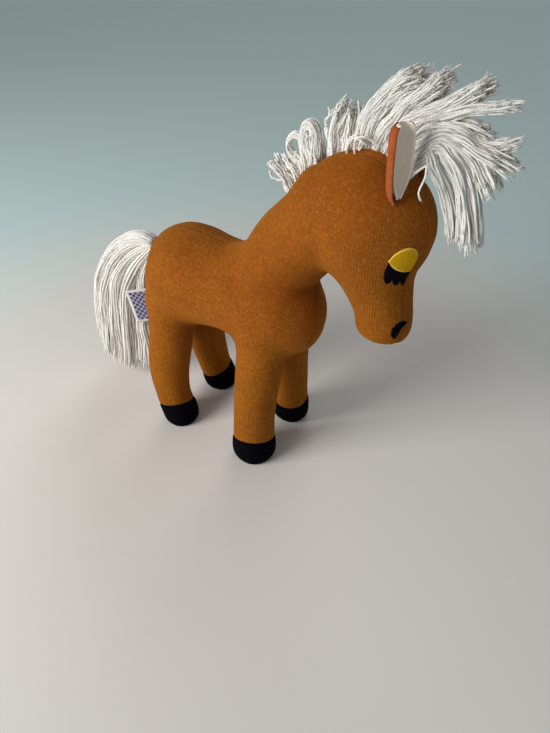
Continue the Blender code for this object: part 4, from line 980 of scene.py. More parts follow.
# Painted shade: the knit is darkened in creases and in broad hollows, and the throat gets a painted shadow of
# the head.
crease_shade = np.clip(averaged(np.clip(hollow / CREASE_HOLLOW, 0.0, 1.0), 4), 0.0, 1.0)
painted_shade = np.clip(averaged(np.clip(hollow / SHADE_HOLLOW, 0.0, 1.0), 150) * 3.2, 0.0, 1.0)
throat = np.exp(-(((skin_points - THROAT) / THROAT_REACH) ** 2).sum(axis=1))
painted_shade = np.maximum(painted_shade, throat)
print("russet over the skin, 50th to 99th percentile:",
      [round(float(np.percentile(painted_shade, share)), 2) for share in (50, 75, 90, 99)])
on_cap = (above_hoof(skin_points) < 0) & (seam_distance > 0)
skin_rise[on_cap] += HOOF_PROUD * np.clip(seam_distance[on_cap] / HOOF_ROLL, 0, 1)
outer_points = skin_points + smooth_normals * skin_rise[:, None]
on_floor = skin_points[:, 2] < 0.02 * MM
outer_points[on_floor, 2] = 0.0
outer_points[:, 2] = np.maximum(outer_points[:, 2], 0.0)

# %% [markdown]
# ## Knit lines
# The wales of the knit run up the legs, the sides and the face, and follow the cloth round the body. A
# straight projection would stretch them, so each panel is laid flat by least squares: every edge of
# the mesh says how far apart its two ends should be in the cloth, across the wales and along them, and
# conjugate gradients find the two coordinates that fit all edges best.


# %% Lay the panels flat
def spread_flat(edges, wanted, guess, rounds=260):
    """Find a value per point whose differences along the edges are as near as can be to the wanted ones."""
    first, second = edges.T
    count = len(guess)

    def pull(values):
        difference = values[second] - values[first]
        return np.bincount(second, difference, count) - np.bincount(first, difference, count)

    goal = np.bincount(second, wanted, count) - np.bincount(first, wanted, count)
    value = guess.copy()
    left = goal - pull(value)
    step = left.copy()
    size = left @ left
    for _ in range(rounds):
        moved = pull(step)
        share = size / max(step @ moved, 1e-30)
        value += share * step
        left -= share * moved
        fresh = left @ left
        step = left + step * (fresh / size)
        size = fresh
    return value


def flat_directions(normals, panel):
    """Return the directions across the wales and along them, in the surface at each point."""
    x_axis = np.array([1.0, 0.0, 0.0])
    level = x_axis - normals * normals[:, :1]
    rising = UP - normals * normals[:, 2:]
    turn = np.cross(unit(rising), normals)
    side = -1.0 if panel == SIDE_LEFT else 1.0
    level_weight = (1 - normals[:, :1] ** 2) ** 2
    turn_weight = (1 - normals[:, 2:] ** 2) ** 2
    if panel == UNDER_BODY:
        turn_weight = normals[:, :1] ** 4
    if panel == FACE_STRIP:
        level_weight = level_weight * 0.0
    across = unit(unit(level) * level_weight + side * turn * turn_weight)
    return across, np.cross(normals, across)


def flat_places(points, normals, edges, panel):
    """Return the place in the flat cloth, in millimetres, of each point of a panel."""
    across, along = flat_directions(normals, panel)
    step = points[edges[:, 1]] - points[edges[:, 0]]
    places = []
    for direction, guess in ((across, points[:, 0]), (along, points[:, 2])):
        middle = (direction[edges[:, 0]] + direction[edges[:, 1]]) / 2
        places.append(spread_flat(edges, (step * middle).sum(axis=1), guess))
    return np.column_stack(places) / MM


# %% [markdown]
# ## Cloth with a thickness
# Each panel becomes a closed shell: the outer face, an inner face a cloth's thickness further in, and
# a narrow wall along its rim. Neighbouring panels share the points of their seam, so no gap shows.

# %% Make the panels
CLOTH_THICKNESS = 0.9 * MM


def panel_shell(name, panel):
    """Return one panel as a closed mesh with its place in the cloth and its painted shade for creases and
    hollows stored.
    """
    quads = skin_quads[quad_panels == panel]
    triangles = skin_triangles[triangle_panels == panel]
    used = np.unique(np.concatenate([quads.ravel(), triangles.ravel()]))
    lookup = np.full(len(skin_points), -1)
    lookup[used] = np.arange(len(used))
    quads, triangles = lookup[quads], lookup[triangles]
    outer, normals = outer_points[used], smooth_normals[used]
    sunk = normals * np.minimum(skin_rise[used], 0.0)[:, None]
    inner = skin_points[used] + sunk - normals * CLOTH_THICKNESS
    inner[:, 2] = np.maximum(inner[:, 2], 0.0 if panel < FIRST_HOOF else CLOTH_THICKNESS)
    edges = directed_edges(quads, triangles)
    keys = np.sort(edges, axis=1) @ np.array([len(used), 1])
    _, places, counts = np.unique(keys, return_index=True, return_counts=True)
    rim = edges[places[counts == 1]]
    count = len(used)
    wall = np.column_stack([rim[:, 1], rim[:, 0], rim[:, 0] + count, rim[:, 1] + count])
    all_quads = np.vstack([quads, quads[:, ::-1] + count, wall])
    all_triangles = np.vstack([triangles, triangles[:, ::-1] + count])
    mesh = mesh_from(name, np.vstack([outer, inner]), all_quads, all_triangles)
    if panel < FIRST_HOOF:
        flat = flat_places(outer, normals, edges[places], panel)
        set_uv(mesh, np.vstack([flat, flat]))
    set_value(mesh, "crease_shade", np.tile(crease_shade[used], 2))
    set_value(mesh, "painted_shade", np.tile(painted_shade[used], 2))
    return mesh


PANELS = (
    (SIDE_RIGHT, "knit_side_right",
     ("side_panel_right", "filling_leg_front_right", "filling_leg_hind_right")),
    (SIDE_LEFT, "knit_side_left",
     ("side_panel_left", "filling_leg_front_left", "filling_leg_hind_left")),
    (UNDER_BODY, "knit_under_body", ("belly_gusset", "filling_body", "filling_neck")),
    (FACE_STRIP, "knit_face_strip", ("face_strip", "filling_head")),
)
for panel, name, nodes in PANELS:
    add_piece(panel_shell(name, panel), KNIT, "stuffed_body", "knit", *nodes)
for number, node in enumerate(("hoof_front_right", "hoof_front_left", "hoof_hind_right", "hoof_hind_left")):
    mesh = panel_shell(f"{node}_cap", FIRST_HOOF + number)
    add_piece(mesh, HOOF_FELT, "stuffed_body", "hoof_cloth", node)

# %% [markdown]
# ## Yarn
# Mane and tail are cut hanks of soft white yarn, so they are made strand by strand. A lock starts from
# a guide line. Its strands lie side by side round the guide, drift apart towards their ends, and wave a
# little. A small ring of points carried along each strand makes its tube. The ring doesn't turn about
# the strand unless the strand bends, which keeps the twist of the yarn even. At each cut end the plies
# come undone into thin fibres.


# %% Strands along a guide
CORE_SHARE = 0.80
CORE_REACH = 0.88
WISP_STRANDS = 8
WISP_GATHER = 0.6
STRAND_STEP = 1.7 * MM


def even_curve(guide, count):
    """Return points evenly spaced along the curve through a guide's points."""
    dense = curve_through(np.array(guide, dtype=float) * MM, 240)
    length = np.concatenate([[0.0], np.cumsum(np.linalg.norm(np.diff(dense, axis=0), axis=1))])
    wanted = np.linspace(0.0, length[-1], count)
    return np.column_stack([np.interp(wanted, length, dense[:, axis]) for axis in range(3)]), length[-1]


def lock_paths(guide, count, root_half, tip_half, draw, step=STRAND_STEP, shorter=0.22,
               wave=0.32 * MM, scatter=0.8):
    """Strand paths: guide + offset x a width that grows along it + waves + a drift of the free end.

    Towards the cut end, each strand's offset runs over into that of the nearest of a few wisps.
    """
    line, length = even_curve(guide, 200)
    along = unit(np.gradient(line, axis=0))
    flat = unit(np.cross(along, LEFT))
    rings = int(length / step) + 2
    angle = draw.uniform(0, 2 * math.pi, (count, 1))
    radius = np.sqrt(draw.uniform(0.25, 1, (count, 1)))
    deep, wide = radius * np.sin(angle), radius * np.cos(angle)
    wisps = draw.uniform(-0.75, 0.75, (2, max(1, count // WISP_STRANDS)))
    nearest = np.argmin((deep - wisps[0]) ** 2 + (wide - wisps[1]) ** 2, axis=1)
    reach = 1.06 - shorter * (0.6 * draw.uniform(0, 1, (count, 1)) + 0.6 * radius ** 2)
    share = np.linspace(0.0, 1.0, rings)[None, :] * reach
    place = share * (len(line) - 1)
    index = np.minimum(place.astype(int), len(line) - 2)
    part = (place - index)[..., None]
    centre = line[index] * (1 - part) + line[index + 1] * part
    depth_axis = unit(flat[index] * (1 - part) + flat[index + 1] * part)
    gather = WISP_GATHER * np.clip((share - 0.3) / 0.7, 0.0, 1.0) ** 1.5
    deep = deep * (1 - gather) + wisps[0][nearest][:, None] * gather
    wide = wide * (1 - gather) + wisps[1][nearest][:, None] * gather
    grow = share ** 0.8
    root_deep, root_wide = (half * MM for half in root_half)
    tip_deep, tip_wide = (half * MM for half in tip_half)
    paths = centre + depth_axis * (deep * (root_deep + (tip_deep - root_deep) * grow))[..., None]
    paths = paths + LEFT * (wide * (root_wide + (tip_wide - root_wide) * grow))[..., None]
    for size, turns in ((wave, 1.6), (wave * 0.6, 3.3), (wave * 0.2, 6.0)):
        phase = draw.uniform(0, 2 * math.pi, (count, 1, 3))
        bend = np.sin(share[..., None] * 2 * math.pi * turns * draw.uniform(0.7, 1.3, (count, 1, 1)) + phase)
        strength = draw.uniform(0.5, 1.4, (count, 1, 1))
        paths = paths + bend * (size * np.minimum(share * 4, 1.0))[..., None] * strength
    drift = draw.normal(0, 1.0 * MM * scatter, (count, 1, 3))
    return paths + drift * (share ** 3)[..., None]


def lock_core(guide, root_half, tip_half, draw, step):
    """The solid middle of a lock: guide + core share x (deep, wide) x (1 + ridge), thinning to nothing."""
    line, length = even_curve(guide, 200)
    rings = int(length * CORE_REACH / step) + 3
    share = np.linspace(0.0, CORE_REACH, rings)
    centre = np.column_stack([np.interp(share, np.linspace(0, 1, 200), line[:, axis]) for axis in range(3)])
    depth_axis = unit(np.cross(unit(np.gradient(centre, axis=0)), LEFT))
    fullness = CORE_SHARE * np.sqrt(1 - (share / (CORE_REACH + 0.01)) ** 3)
    grow = share ** 0.8
    deep = (root_half[0] + (tip_half[0] - root_half[0]) * grow) * fullness * MM
    wide = (root_half[1] + (tip_half[1] - root_half[1]) * grow) * fullness * MM
    ridges = max(6, int(2.2 * (root_half[0] + root_half[1] + tip_half[0] + tip_half[1])))
    sides = ridges * 4
    turn = np.linspace(0, 2 * math.pi, sides, endpoint=False)
    wander = 1.6 * np.sin(share[:, None] * 7.0 + turn * 2 + draw.uniform(0, 6)) + share[:, None] * 2.0
    ridge = 1 + 0.13 * np.abs(np.cos((ridges * turn + wander) / 2)) ** 0.6
    ring = depth_axis[:, None] * (deep[:, None] * np.sin(turn) * ridge)[..., None]
    points = centre[:, None] + ring + LEFT * (wide[:, None] * np.cos(turn) * ridge)[..., None]
    way = length * CORE_REACH / rings / MM
    return tube_parts(points[None], centre[None], way, ridges / 3)


def end_fibres(paths, per_strand, longest, draw):
    """Thin fibres that spread out of the last point of each strand."""
    end = np.repeat(paths[:, -2], per_strand, axis=0)
    along = np.repeat(unit(paths[:, -1] - paths[:, -3]), per_strand, axis=0)
    count = len(end)
    aim = unit(along + draw.normal(0, 0.26, (count, 3)))
    curl = draw.normal(0, 0.22, (count, 3))
    length = longest * draw.uniform(0.35, 1.0, (count, 1, 1))
    share = np.linspace(0.0, 1.0, 5)[None, :, None]
    return end[:, None] + length * (share * aim[:, None] + share ** 2 * curl[:, None])


def strand_tubes(paths, radius, end_radius, sides):
    """Tubes round paths: each ring is the path's point + radius x (cosine, sine) in a carried frame."""
    rings = paths.shape[1]
    along = unit(np.gradient(paths, axis=1))
    across = unit(np.cross(along[:, 0], np.array([0.31, 0.87, 0.38])))
    frames = []
    for ring in range(rings):
        across = unit(across - along[:, ring] * (across * along[:, ring]).sum(axis=1, keepdims=True))
        frames.append(across)
    first = np.stack(frames, axis=1)
    second = np.cross(along, first)
    turn = np.linspace(0, 2 * math.pi, sides, endpoint=False)
    taper = np.linspace(0.0, 1.0, rings) ** 3
    sizes = (radius + (end_radius - radius) * taper)[None, :, None, None]
    points = paths[:, :, None] + sizes * (first[:, :, None] * np.cos(turn)[:, None] + second[:, :, None]
                                          * np.sin(turn)[:, None])
    way = np.linalg.norm(np.diff(paths, axis=1), axis=2).mean() / MM
    return tube_parts(points, paths, way, 1.0)


def tube_parts(points, paths, way, turns):
    """Close rings of points into tubes: all points, quads, end fans, and the turn and way at each corner."""
    strands, rings, sides, _ = points.shape
    quads = grid_quads(rings, sides, True)
    corner = np.arange(sides)
    following = (corner + 1) % sides
    last = (rings - 1) * sides
    poles = rings * sides
    fans = np.vstack([np.column_stack([following, corner, np.full(sides, poles)]),
                      np.column_stack([last + corner, last + following, np.full(sides, poles + 1)])])
    size = rings * sides + 2
    shift = (np.arange(strands) * size)[:, None, None]
    every = np.concatenate([points.reshape(strands, -1, 3), paths[:, :1], paths[:, -1:]], axis=1)
    shape = (rings - 1, sides, 4)
    corner_turns = np.stack([corner, corner + 1, corner + 1, corner], axis=-1) * (turns / sides)
    ring_way = np.arange(rings) * way
    corner_way = np.stack([ring_way[:-1], ring_way[:-1], ring_way[1:], ring_way[1:]], axis=-1)[:, None]
    quad_uv = np.stack([np.broadcast_to(corner_turns, shape), np.broadcast_to(corner_way, shape)],
                       axis=-1).reshape(-1, 2)
    fan_uv = np.zeros((len(fans) * 3, 2))
    return (every.reshape(-1, 3), (quads[None] + shift).reshape(-1, 4), (fans[None] + shift).reshape(-1, 3),
            np.tile(quad_uv, (strands, 1)), np.tile(fan_uv, (strands, 1)))


def joined(name, parts):
    """Join sets of tubes into one mesh, with the turn and the way along each strand as its UV map."""
    counts = np.concatenate([[0], np.cumsum([len(part[0]) for part in parts])])
    mesh = mesh_from(name, np.vstack([part[0] for part in parts]),
                     np.vstack([part[1] + count for part, count in zip(parts, counts)]),
                     np.vstack([part[2] + count for part, count in zip(parts, counts)]))
    layer = mesh.uv_layers.new(name="cloth")
    layer.data.foreach_set("uv", np.vstack([part[3] for part in parts] + [part[4] for part in parts])
                           .astype(np.float32).ravel())
    return mesh


# %% [markdown]
# ## Mane
# The mane is sewn into the crest in short tufts. Behind, the yarn was left folded, so its tops are
# round loops. Further forward it is cut, stands up and leans to the front, and the last tufts hang
# over the brow as a forelock. Each tuft has a guide read off the photograph, in millimetres.

# %% Guides of the mane
STRAND_RADIUS = 0.42 * MM
STRAND_SIDES = 5
FIBRE_RADIUS = 0.15 * MM
FIBRE_LENGTH = 2.2 * MM
FEW_STRANDS = 12
# piece: body, then its tufts: guide, strands, half thickness and half width at the root and at the tip
MANE_TUFTS = {
    "mane_nape_lock_1": ("mane_nape", (
        (((30.5, 1.5, 154), (25.3, 2, 162.6), (21.8, 2, 166.4), (18.6, 3, 169.2)), 54, (1.8, 1.6), (2.6, 5)),
        (((34.5, 1.5, 158), (30.4, 2, 166.4), (26.8, 3, 168.6), (23.6, 5, 170.4)), 54, (1.8, 1.6), (2.4, 5)),
        (((26, 0, 161.9), (22.2, 0, 160.3), (19.1, 0, 161.7), (17.9, 0, 163.8), (19.4, 0, 164.8)),
         2, (0.3, 0.4), (0.4, 0.5)),
    )),
    "mane_nape_lock_2": ("mane_nape", (
        (((34.5, 1.5, 161), (29.8, 2, 170.5), (26.8, 2, 174.2), (26.8, 2, 177.5), (29, 2, 179.9),
          (31.9, 2, 179.6), (33.8, 1, 177.2), (35.1, 0, 171.8), (36.5, 0, 164)), 25, (1, 1.3), (0.9, 2)),
        (((37, 1.5, 162.5), (34.3, 2, 169.4), (31.7, 3, 170.7), (29.4, 5, 171.3)), 58, (1.8, 1.8), (2.2, 5)),
    )),
    "mane_nape_lock_3": ("mane_nape", (
        (((38.5, 1.5, 163.5), (35.7, 2, 174.6), (34.5, 2, 179.9), (34.7, 3, 184.1), (36.8, 3, 185.3),
          (39.2, 2, 183.5), (40.8, 1, 179.1), (42.5, 0, 168)), 145, (1.8, 1.9), (2, 4)),
        (((41, 1.5, 166), (38.7, 2, 175.1), (37.4, 2, 179), (36.9, 3, 182.2)), 71, (1.8, 1.8), (1.8, 4.5)),
    )),
    "mane_nape_lock_4": ("mane_nape", (
        (((49, 1.5, 169.5), (48.6, 2, 181.1), (49.4, 2, 187.2), (50.5, 3, 191.8), (52.1, 4, 195.8)),
         156, (2.4, 1.8), (3, 5.5)),
        (((53.5, 1.5, 171), (54.4, 2, 183.5), (55, 2, 188.7), (54.6, 4, 192.1), (53.6, 5, 194.9)),
         71, (2, 1.8), (2.4, 5)),
        (((56, -1, 173), (57.8, -3, 183.5), (60.2, -4, 185.5), (62.7, -5, 184.5), (63.8, -5, 182)),
         3, (1.4, 1.4), (1.6, 2.2)),
        (((44.8, 2, 180.2), (43.3, 2, 184.8), (43.5, 2, 188.3), (45.6, 2, 190.6), (44.8, 2, 194.3)),
         2, (0.3, 0.3), (0.4, 0.4)),
    )),
    "mane_poll_lock_1": ("stuffed_body", (
        (((60.5, 1.5, 173.5), (61.7, 2, 187), (63.7, 3, 192.8), (67.9, 5, 199), (73.4, 6, 203.9),
          (79.5, 8, 206.8)), 260, (4.4, 1.9), (4.6, 6)),
        (((60, -2, 173.5), (61, -4, 183.3), (62.7, -5, 186.2), (65.8, -6, 186), (67.5, -6, 183.5)),
         3, (1.6, 1.4), (1.8, 2.4)),
    )),
    "mane_poll_lock_2": ("stuffed_body", (
        (((65.5, 1.5, 174.5), (70.1, 1, 187.9), (73.1, 2, 192), (77.3, 4, 198), (82.8, 6, 203),
          (88.8, 8, 208)), 205, (3.6, 1.9), (3.6, 6)),
    )),
    "mane_poll_lock_3": ("stuffed_body", (
        (((68.5, 1.5, 175), (77.2, 1, 191.4), (82.4, 2, 194.9), (90.8, 4, 199.2), (97.8, 6, 203.8),
          (103.5, 8, 207.6)), 130, (2.9, 1.9), (3.2, 5.5)),
        (((70, 1.5, 174.5), (81.2, 1, 192), (89.5, 2, 195.9), (98, 3, 199.2), (106, 4, 200.9),
          (114.5, 5, 202.3)), 85, (2.5, 1.9), (1.8, 4)),
        (((71.5, 1.5, 174), (83.5, 1, 190.6), (91.3, 2, 193.5), (99.3, 3, 193.9), (107.8, 4, 191.8)),
         75, (2.5, 1.9), (2.2, 4.5)),
    )),
    "forelock_1": ("forelock", (
        (((72.5, 1.5, 174), (87.8, 1, 190.4), (96.1, 1, 192.6), (103.9, 2, 190), (111.3, 3, 189.2),
          (117.1, 4, 191.2)), 101, (2.5, 2.1), (2.2, 5)),
        (((73.5, 1.5, 173.5), (88.6, 1, 189.3), (98, 0, 191), (106.1, 1, 187.6), (113, 2, 184.9),
          (118.9, 3, 182.3)), 114, (2.5, 2.1), (2.7, 5.5)),
    )),
    "forelock_2": ("forelock", (
        (((75, 0.5, 172.5), (89.6, -1, 188.5), (96.9, -1, 189.8), (103.2, 1, 185.7), (108.3, 2, 179.1),
          (112.3, 3, 172.3)), 179, (2.8, 2.1), (4, 6)),
    )),
    "forelock_3": ("forelock", (
        (((77, -0.5, 171), (89.9, -1, 187), (97, -2, 184.8), (102.4, 0, 176.5), (105.9, 2, 165.7),
          (109.7, 3, 149.6)), 195, (2.8, 2.1), (4.8, 6.5)),
        (((78, -1.5, 170), (88.1, -3, 184.4), (91.5, -4, 180.8), (96, -2, 173.2), (99.9, 0, 163.5),
          (102.5, 1, 151.5)), 65, (1.8, 1.6), (2.6, 4)),
        (((82, -6, 173), (90.8, -12, 183.1), (91.7, -13, 178.5), (91.7, -14, 173.6), (93.4, -14, 169.4)),
         1, (0.2, 0.2), (0.3, 0.3)),
    )),
}


def yarn_lock(name, tufts, seed, step=STRAND_STEP, **looseness):
    """Return a lock: the strands of its tufts, and the fibres at their ends."""
    draw = np.random.default_rng(seed)
    parts = []
    for guide, count, root_half, tip_half in tufts:
        if count > FEW_STRANDS:
            parts.append(lock_core(guide, root_half, tip_half, draw, step))
        paths = lock_paths(guide, count, root_half, tip_half, draw, step, **looseness)
        parts.append(strand_tubes(paths, STRAND_RADIUS, STRAND_RADIUS * 0.8, STRAND_SIDES))
        fibres = end_fibres(paths, 2, FIBRE_LENGTH, draw)
        parts.append(strand_tubes(fibres, FIBRE_RADIUS, FIBRE_RADIUS * 0.5, 3))
    return joined(name, parts)


for seed, (node, (body, tufts)) in enumerate(MANE_TUFTS.items(), start=20):
    add_piece(yarn_lock(f"{node}_yarn", tufts, seed), YARN, body, "yarn", node)

# %% [markdown]
# ## Tail
# The tail is one long hank, tied where it leaves the rump and hanging in five locks. A short helix of
# yarn round its root stands for the knot.

# %% Guides of the tail
TAIL_GUIDES = (
    ((-60, 0, 105), (-68.5, 1, 94), (-76, 2, 79), (-80, 2, 63), (-82, 1, 45), (-81, 0, 30), (-82, -1, 13)),
    ((-60, 0, 106), (-70, 0, 96.5), (-80, 0, 84), (-87, -1, 70), (-91, -1, 53), (-92, -2, 37), (-94, -2, 21),
     (-95, -3, 8)),
    ((-60, 0, 107), (-71, -1, 101), (-84, -1, 90), (-94, -2, 75), (-99, -2, 56), (-101, -3, 38),
     (-102, -3, 21), (-104, -4, 8)),
    ((-60, 0, 107.5), (-71, 0, 105.5), (-85, -1, 96.5), (-97, -2, 81), (-105, -3, 62), (-107.5, -3, 41),
     (-109, -4, 23), (-111, -4, 10)),
    ((-60, 0, 108), (-69, 0, 109), (-84, 0, 102.5), (-98, -1, 89.5), (-109, -2, 72.5), (-112.5, -3, 54),
     (-113.5, -4, 36), (-115.5, -4, 17)),
)
TAIL_STRANDS = 120
TAIL_STEP = 2.3 * MM
TAIL_HALF_WIDTHS = (5.5, 9.0, 9.0, 9.0, 7.0)
TAIL_SPREAD = 1.6
for number, (guide, half_width) in enumerate(zip(TAIL_GUIDES, TAIL_HALF_WIDTHS), start=1):
    tuft = (guide, TAIL_STRANDS, (2.4, 3.6), (6.0, half_width + TAIL_SPREAD))
    mesh = yarn_lock(f"tail_lock_{number}_yarn", (tuft,), 40 + number, step=TAIL_STEP, shorter=0.12)
    add_piece(mesh, YARN, "tail_hank", "yarn", f"tail_lock_{number}")


def knot_paths():
    """Three strands wound side by side: a helix round the tail's root, six tenths of a turn apart."""
    turn = np.linspace(0.0, 4.6 * math.pi, 60)
    start = np.arange(3)[:, None] * 0.6 * math.pi
    root = np.array([-56.2, 0.0, 106.2]) * MM
    along = unit(np.array([-0.94, 0.0, -0.10]))
    upright = unit(np.cross(along, LEFT))
    advance = (np.linspace(0.0, 6.6 * MM, 60) + start * 0.35 * MM)[..., None]
    swell = (2.9 * MM + 0.7 * MM * np.sin(np.linspace(0, math.pi, 60)))[None, :, None]
    return root + along * advance + swell * (upright * np.cos(turn + start)[..., None]
                                             + LEFT * np.sin(turn + start)[..., None])


knot = joined("tail_knot_yarn", [strand_tubes(knot_paths(), 0.75 * MM, 0.6 * MM, 8)])
add_piece(knot, YARN, "tail_root", "yarn", "tail_knot")

# %% [markdown]
# ## Felt pieces on the face
# Eyelids, lashes and nostrils are cut from felt and glued on. Each is a grid of points between an upper
# and a lower outline. The grid is laid out flat in front of the head and dropped onto the skin: every
# point looks along one direction for the first triangle of the skin in its way. All points and all
# triangles near them are tested at once, as arrays.

# %% Drop points onto the skin
SKIN_CORNERS = outer_points[np.vstack([skin_quads[:, :3], skin_quads[:, [0, 2, 3]], skin_triangles])]
HIT_SLACK = 1e-6


def heading(degrees):
    """Return the level direction at this turn from the nose, left being positive."""
    turn = math.radians(degrees)
    return np.array([math.cos(turn), math.sin(turn), 0.0])


def drop_onto_skin(starts, aim):
    """Return where rays from the starts meet the skin: the first triangle that each one passes through."""
    middle = starts.mean(axis=0)
    spread = np.linalg.norm(starts - middle, axis=1).max() + 3 * MM
    centres = SKIN_CORNERS.mean(axis=1) - middle
    beside = np.linalg.norm(centres - np.outer(centres @ aim, aim), axis=1)
    side_one = SKIN_CORNERS[:, 1] - SKIN_CORNERS[:, 0]
    side_two = SKIN_CORNERS[:, 2] - SKIN_CORNERS[:, 0]
    facing = np.cross(side_one, side_two) @ aim < 0
    near = (beside < spread) & facing
    corner, side_one, side_two = SKIN_CORNERS[near, 0], side_one[near], side_two[near]
    across = np.cross(aim, side_two)
    scale = (side_one * across).sum(axis=1)
    offset = starts[:, None] - corner
    first = (offset * across).sum(axis=2) / scale
    turned = np.cross(offset, side_one)
    second = (turned @ aim) / scale
    reach = (turned * side_two).sum(axis=2) / scale
    hit = (first > -HIT_SLACK) & (second > -HIT_SLACK) & (first + second < 1 + HIT_SLACK) & (reach > 0)
    reach = np.where(hit, reach, np.inf).min(axis=1)
    met = np.isfinite(reach)
    return starts + np.where(met, reach, np.nanmedian(reach[met]))[:, None] * aim


def skin_point(height, outward):
    """Return the point of the skin at a height, straight out from the head's middle line."""
    share = (HEAD_TOP[2] - height) / (HEAD_TOP[2] - HEAD_BOTTOM[2])
    middle = HEAD_TOP + (HEAD_BOTTOM - HEAD_TOP) * share
    start = np.array([middle[0], 0.0, height]) + outward * 2 * HEAD_HALF_DEPTH
    return drop_onto_skin(start[None], -outward)[0]


# %% Felt between two outlines
# towards the nose and up, from the middle of the eye
EYELID_UPPER = (
    (-0.50, 0.00), (-0.37, 0.24), (-0.17, 0.40), (0.06, 0.47), (0.27, 0.41), (0.41, 0.26), (0.47, 0.06),
    (0.43, -0.20), (0.33, -0.50),
)
EYELID_LOWER = ((-0.50, 0.00), (-0.37, -0.18), (-0.18, -0.34), (0.09, -0.46), (0.34, -0.50))
LASH_UPPER = ((-0.50, -0.05), (-0.36, -0.15), (-0.14, -0.30), (0.11, -0.42), (0.35, -0.47))
LASH_LOWER = (
    (-0.50, -0.13), (-0.55, -0.38), (-0.52, -0.66), (-0.42, -0.90), (-0.32, -0.95), (-0.24, -0.86),
    (-0.19, -0.79), (-0.13, -0.95), (-0.04, -1.08), (0.04, -1.06), (0.11, -0.91), (0.18, -1.03),
    (0.26, -1.16), (0.34, -1.13), (0.36, -0.88), (0.38, -0.55),
)
NOSTRIL_OUTER = (
    (-0.24, -0.55), (-0.43, -0.29), (-0.46, 0.03), (-0.33, 0.36), (-0.04, 0.57), (0.30, 0.56), (0.54, 0.41),
)
NOSTRIL_INNER = (
    (-0.20, -0.53), (-0.11, -0.44), (0.02, -0.17), (0.13, 0.03), (0.24, 0.16), (0.38, 0.25), (0.54, 0.38),
)
FELT_COLUMNS = 57
FELT_ROWS = 19


def outline(shares, curved):
    """Return points evenly spaced along an outline, on a curve or on straight lines between its corners."""
    row = curve_through(shares, 200) if curved else np.array(shares, dtype=float)
    length = np.concatenate([[0.0], np.cumsum(np.linalg.norm(np.diff(row, axis=0), axis=1))])
    wanted = np.linspace(0.0, length[-1], FELT_COLUMNS)
    return np.column_stack([np.interp(wanted, length, row[:, axis]) for axis in range(2)])


def closed_sheet(name, top, bottom):
    """Join a top and a bottom grid of the same shape into a closed mesh, with a wall at the rim."""
    rows, columns, _ = top.shape
    number = np.arange(rows * columns).reshape(rows, columns)
    rim = np.concatenate([number[0, :-1], number[:-1, -1], number[-1, :0:-1], number[:0:-1, 0]])
    following = np.roll(rim, -1)
    count = rows * columns
    quads = grid_quads(rows, columns, False)
    wall = np.column_stack([rim, following, following + count, rim + count])
    mesh = mesh_from(name, np.vstack([top.reshape(-1, 3), bottom.reshape(-1, 3)]),
                     np.vstack([quads[:, ::-1], quads + count, wall]))
    return mesh


def tidy_mesh(mesh):
    """Merge points that meet, drop faces that have no area, and turn all faces outward."""
    work = bmesh.new()
    work.from_mesh(mesh)
    bmesh.ops.remove_doubles(work, verts=work.verts, dist=MERGE_DISTANCE / 4)
    bmesh.ops.dissolve_degenerate(work, edges=work.edges, dist=MERGE_DISTANCE / 4)
    bmesh.ops.recalc_face_normals(work, faces=work.faces)
    work.to_mesh(mesh)
    work.free()
    return mesh


def felt_patch(name, spot, outward, size, upper, lower, curved=True, thickness=0.8 * MM, lift=0.0):
    """A felt shape on the skin: rows between two outlines, dropped on, thick with a rounded rim."""
    forward = np.array([abs(outward[1]), -math.copysign(outward[0], outward[1]), 0.0])
    share = np.linspace(0.0, 1.0, FELT_ROWS)[:, None, None]
    flat = outline(upper, True) * (1 - share) + outline(lower, curved) * share
    on_plane = spot + forward * (size * flat[..., :1]) + UP * (size * flat[..., 1:])
    starts = on_plane + outward * HEAD_HALF_DEPTH
    places = drop_onto_skin(starts.reshape(-1, 3), -outward).reshape(starts.shape)
    down = np.minimum(share, 1 - share) * (FELT_ROWS - 1)
    along = np.arange(FELT_COLUMNS)[None, :, None]
    inward = np.minimum(down, np.minimum(along, FELT_COLUMNS - 1 - along) * 0.7)
    rounding = np.sqrt(np.clip(1 - (1 - np.clip(inward / 3.0, 0, 1)) ** 2, 0.0, 1.0))
    top = places + outward * (lift + thickness * (0.62 + 0.38 * rounding))
    mesh = closed_sheet(name, top, places - outward * 0.15 * MM)
    set_value(mesh, "rim", np.tile((1 - np.clip(inward / 1.6, 0, 1)).ravel(), 2))
    return tidy_mesh(mesh)


EYE_SIZE = 12.3 * MM
NOSTRIL_SIZE = 7.5 * MM
for word, side in (("right", 1), ("left", -1)):
    eye = skin_point(146.5 * MM, heading(side * -31.8))
    eye_out = heading(side * -44.0)
    lid = felt_patch(f"eyelid_{word}_felt", eye, eye_out, EYE_SIZE, EYELID_UPPER, EYELID_LOWER,
                     thickness=0.6 * MM, lift=0.12 * MM)
    add_piece(lid, YELLOW_FELT, "stuffed_body", "felt_yellow", f"eyelid_{word}")
    lash = felt_patch(f"lash_{word}_felt", eye, eye_out, EYE_SIZE, LASH_UPPER, LASH_LOWER, False, 0.5 * MM)
    add_piece(lash, BLACK_FELT, "stuffed_body", "felt_black", f"lash_{word}")
    nostril = skin_point(109.9 * MM, heading(-28.3 if side > 0 else 36.0))
    crescent = felt_patch(f"nostril_{word}_felt", nostril, heading(side * -42.0), NOSTRIL_SIZE,
                          NOSTRIL_OUTER, NOSTRIL_INNER, thickness=0.4 * MM)
    add_piece(crescent, BLACK_FELT, "stuffed_body", "felt_black", f"nostril_{word}")

# %% [markdown]
# ## Ears
# Each ear is a leaf of rust felt glued to a leaf of off-white felt and rolled into a trough that opens
# forward and outward. A leaf is one function of two numbers: how far up the ear, and how far round the
# roll. Its two faces differ only in their radius, so the leaves lie on each other without a gap.

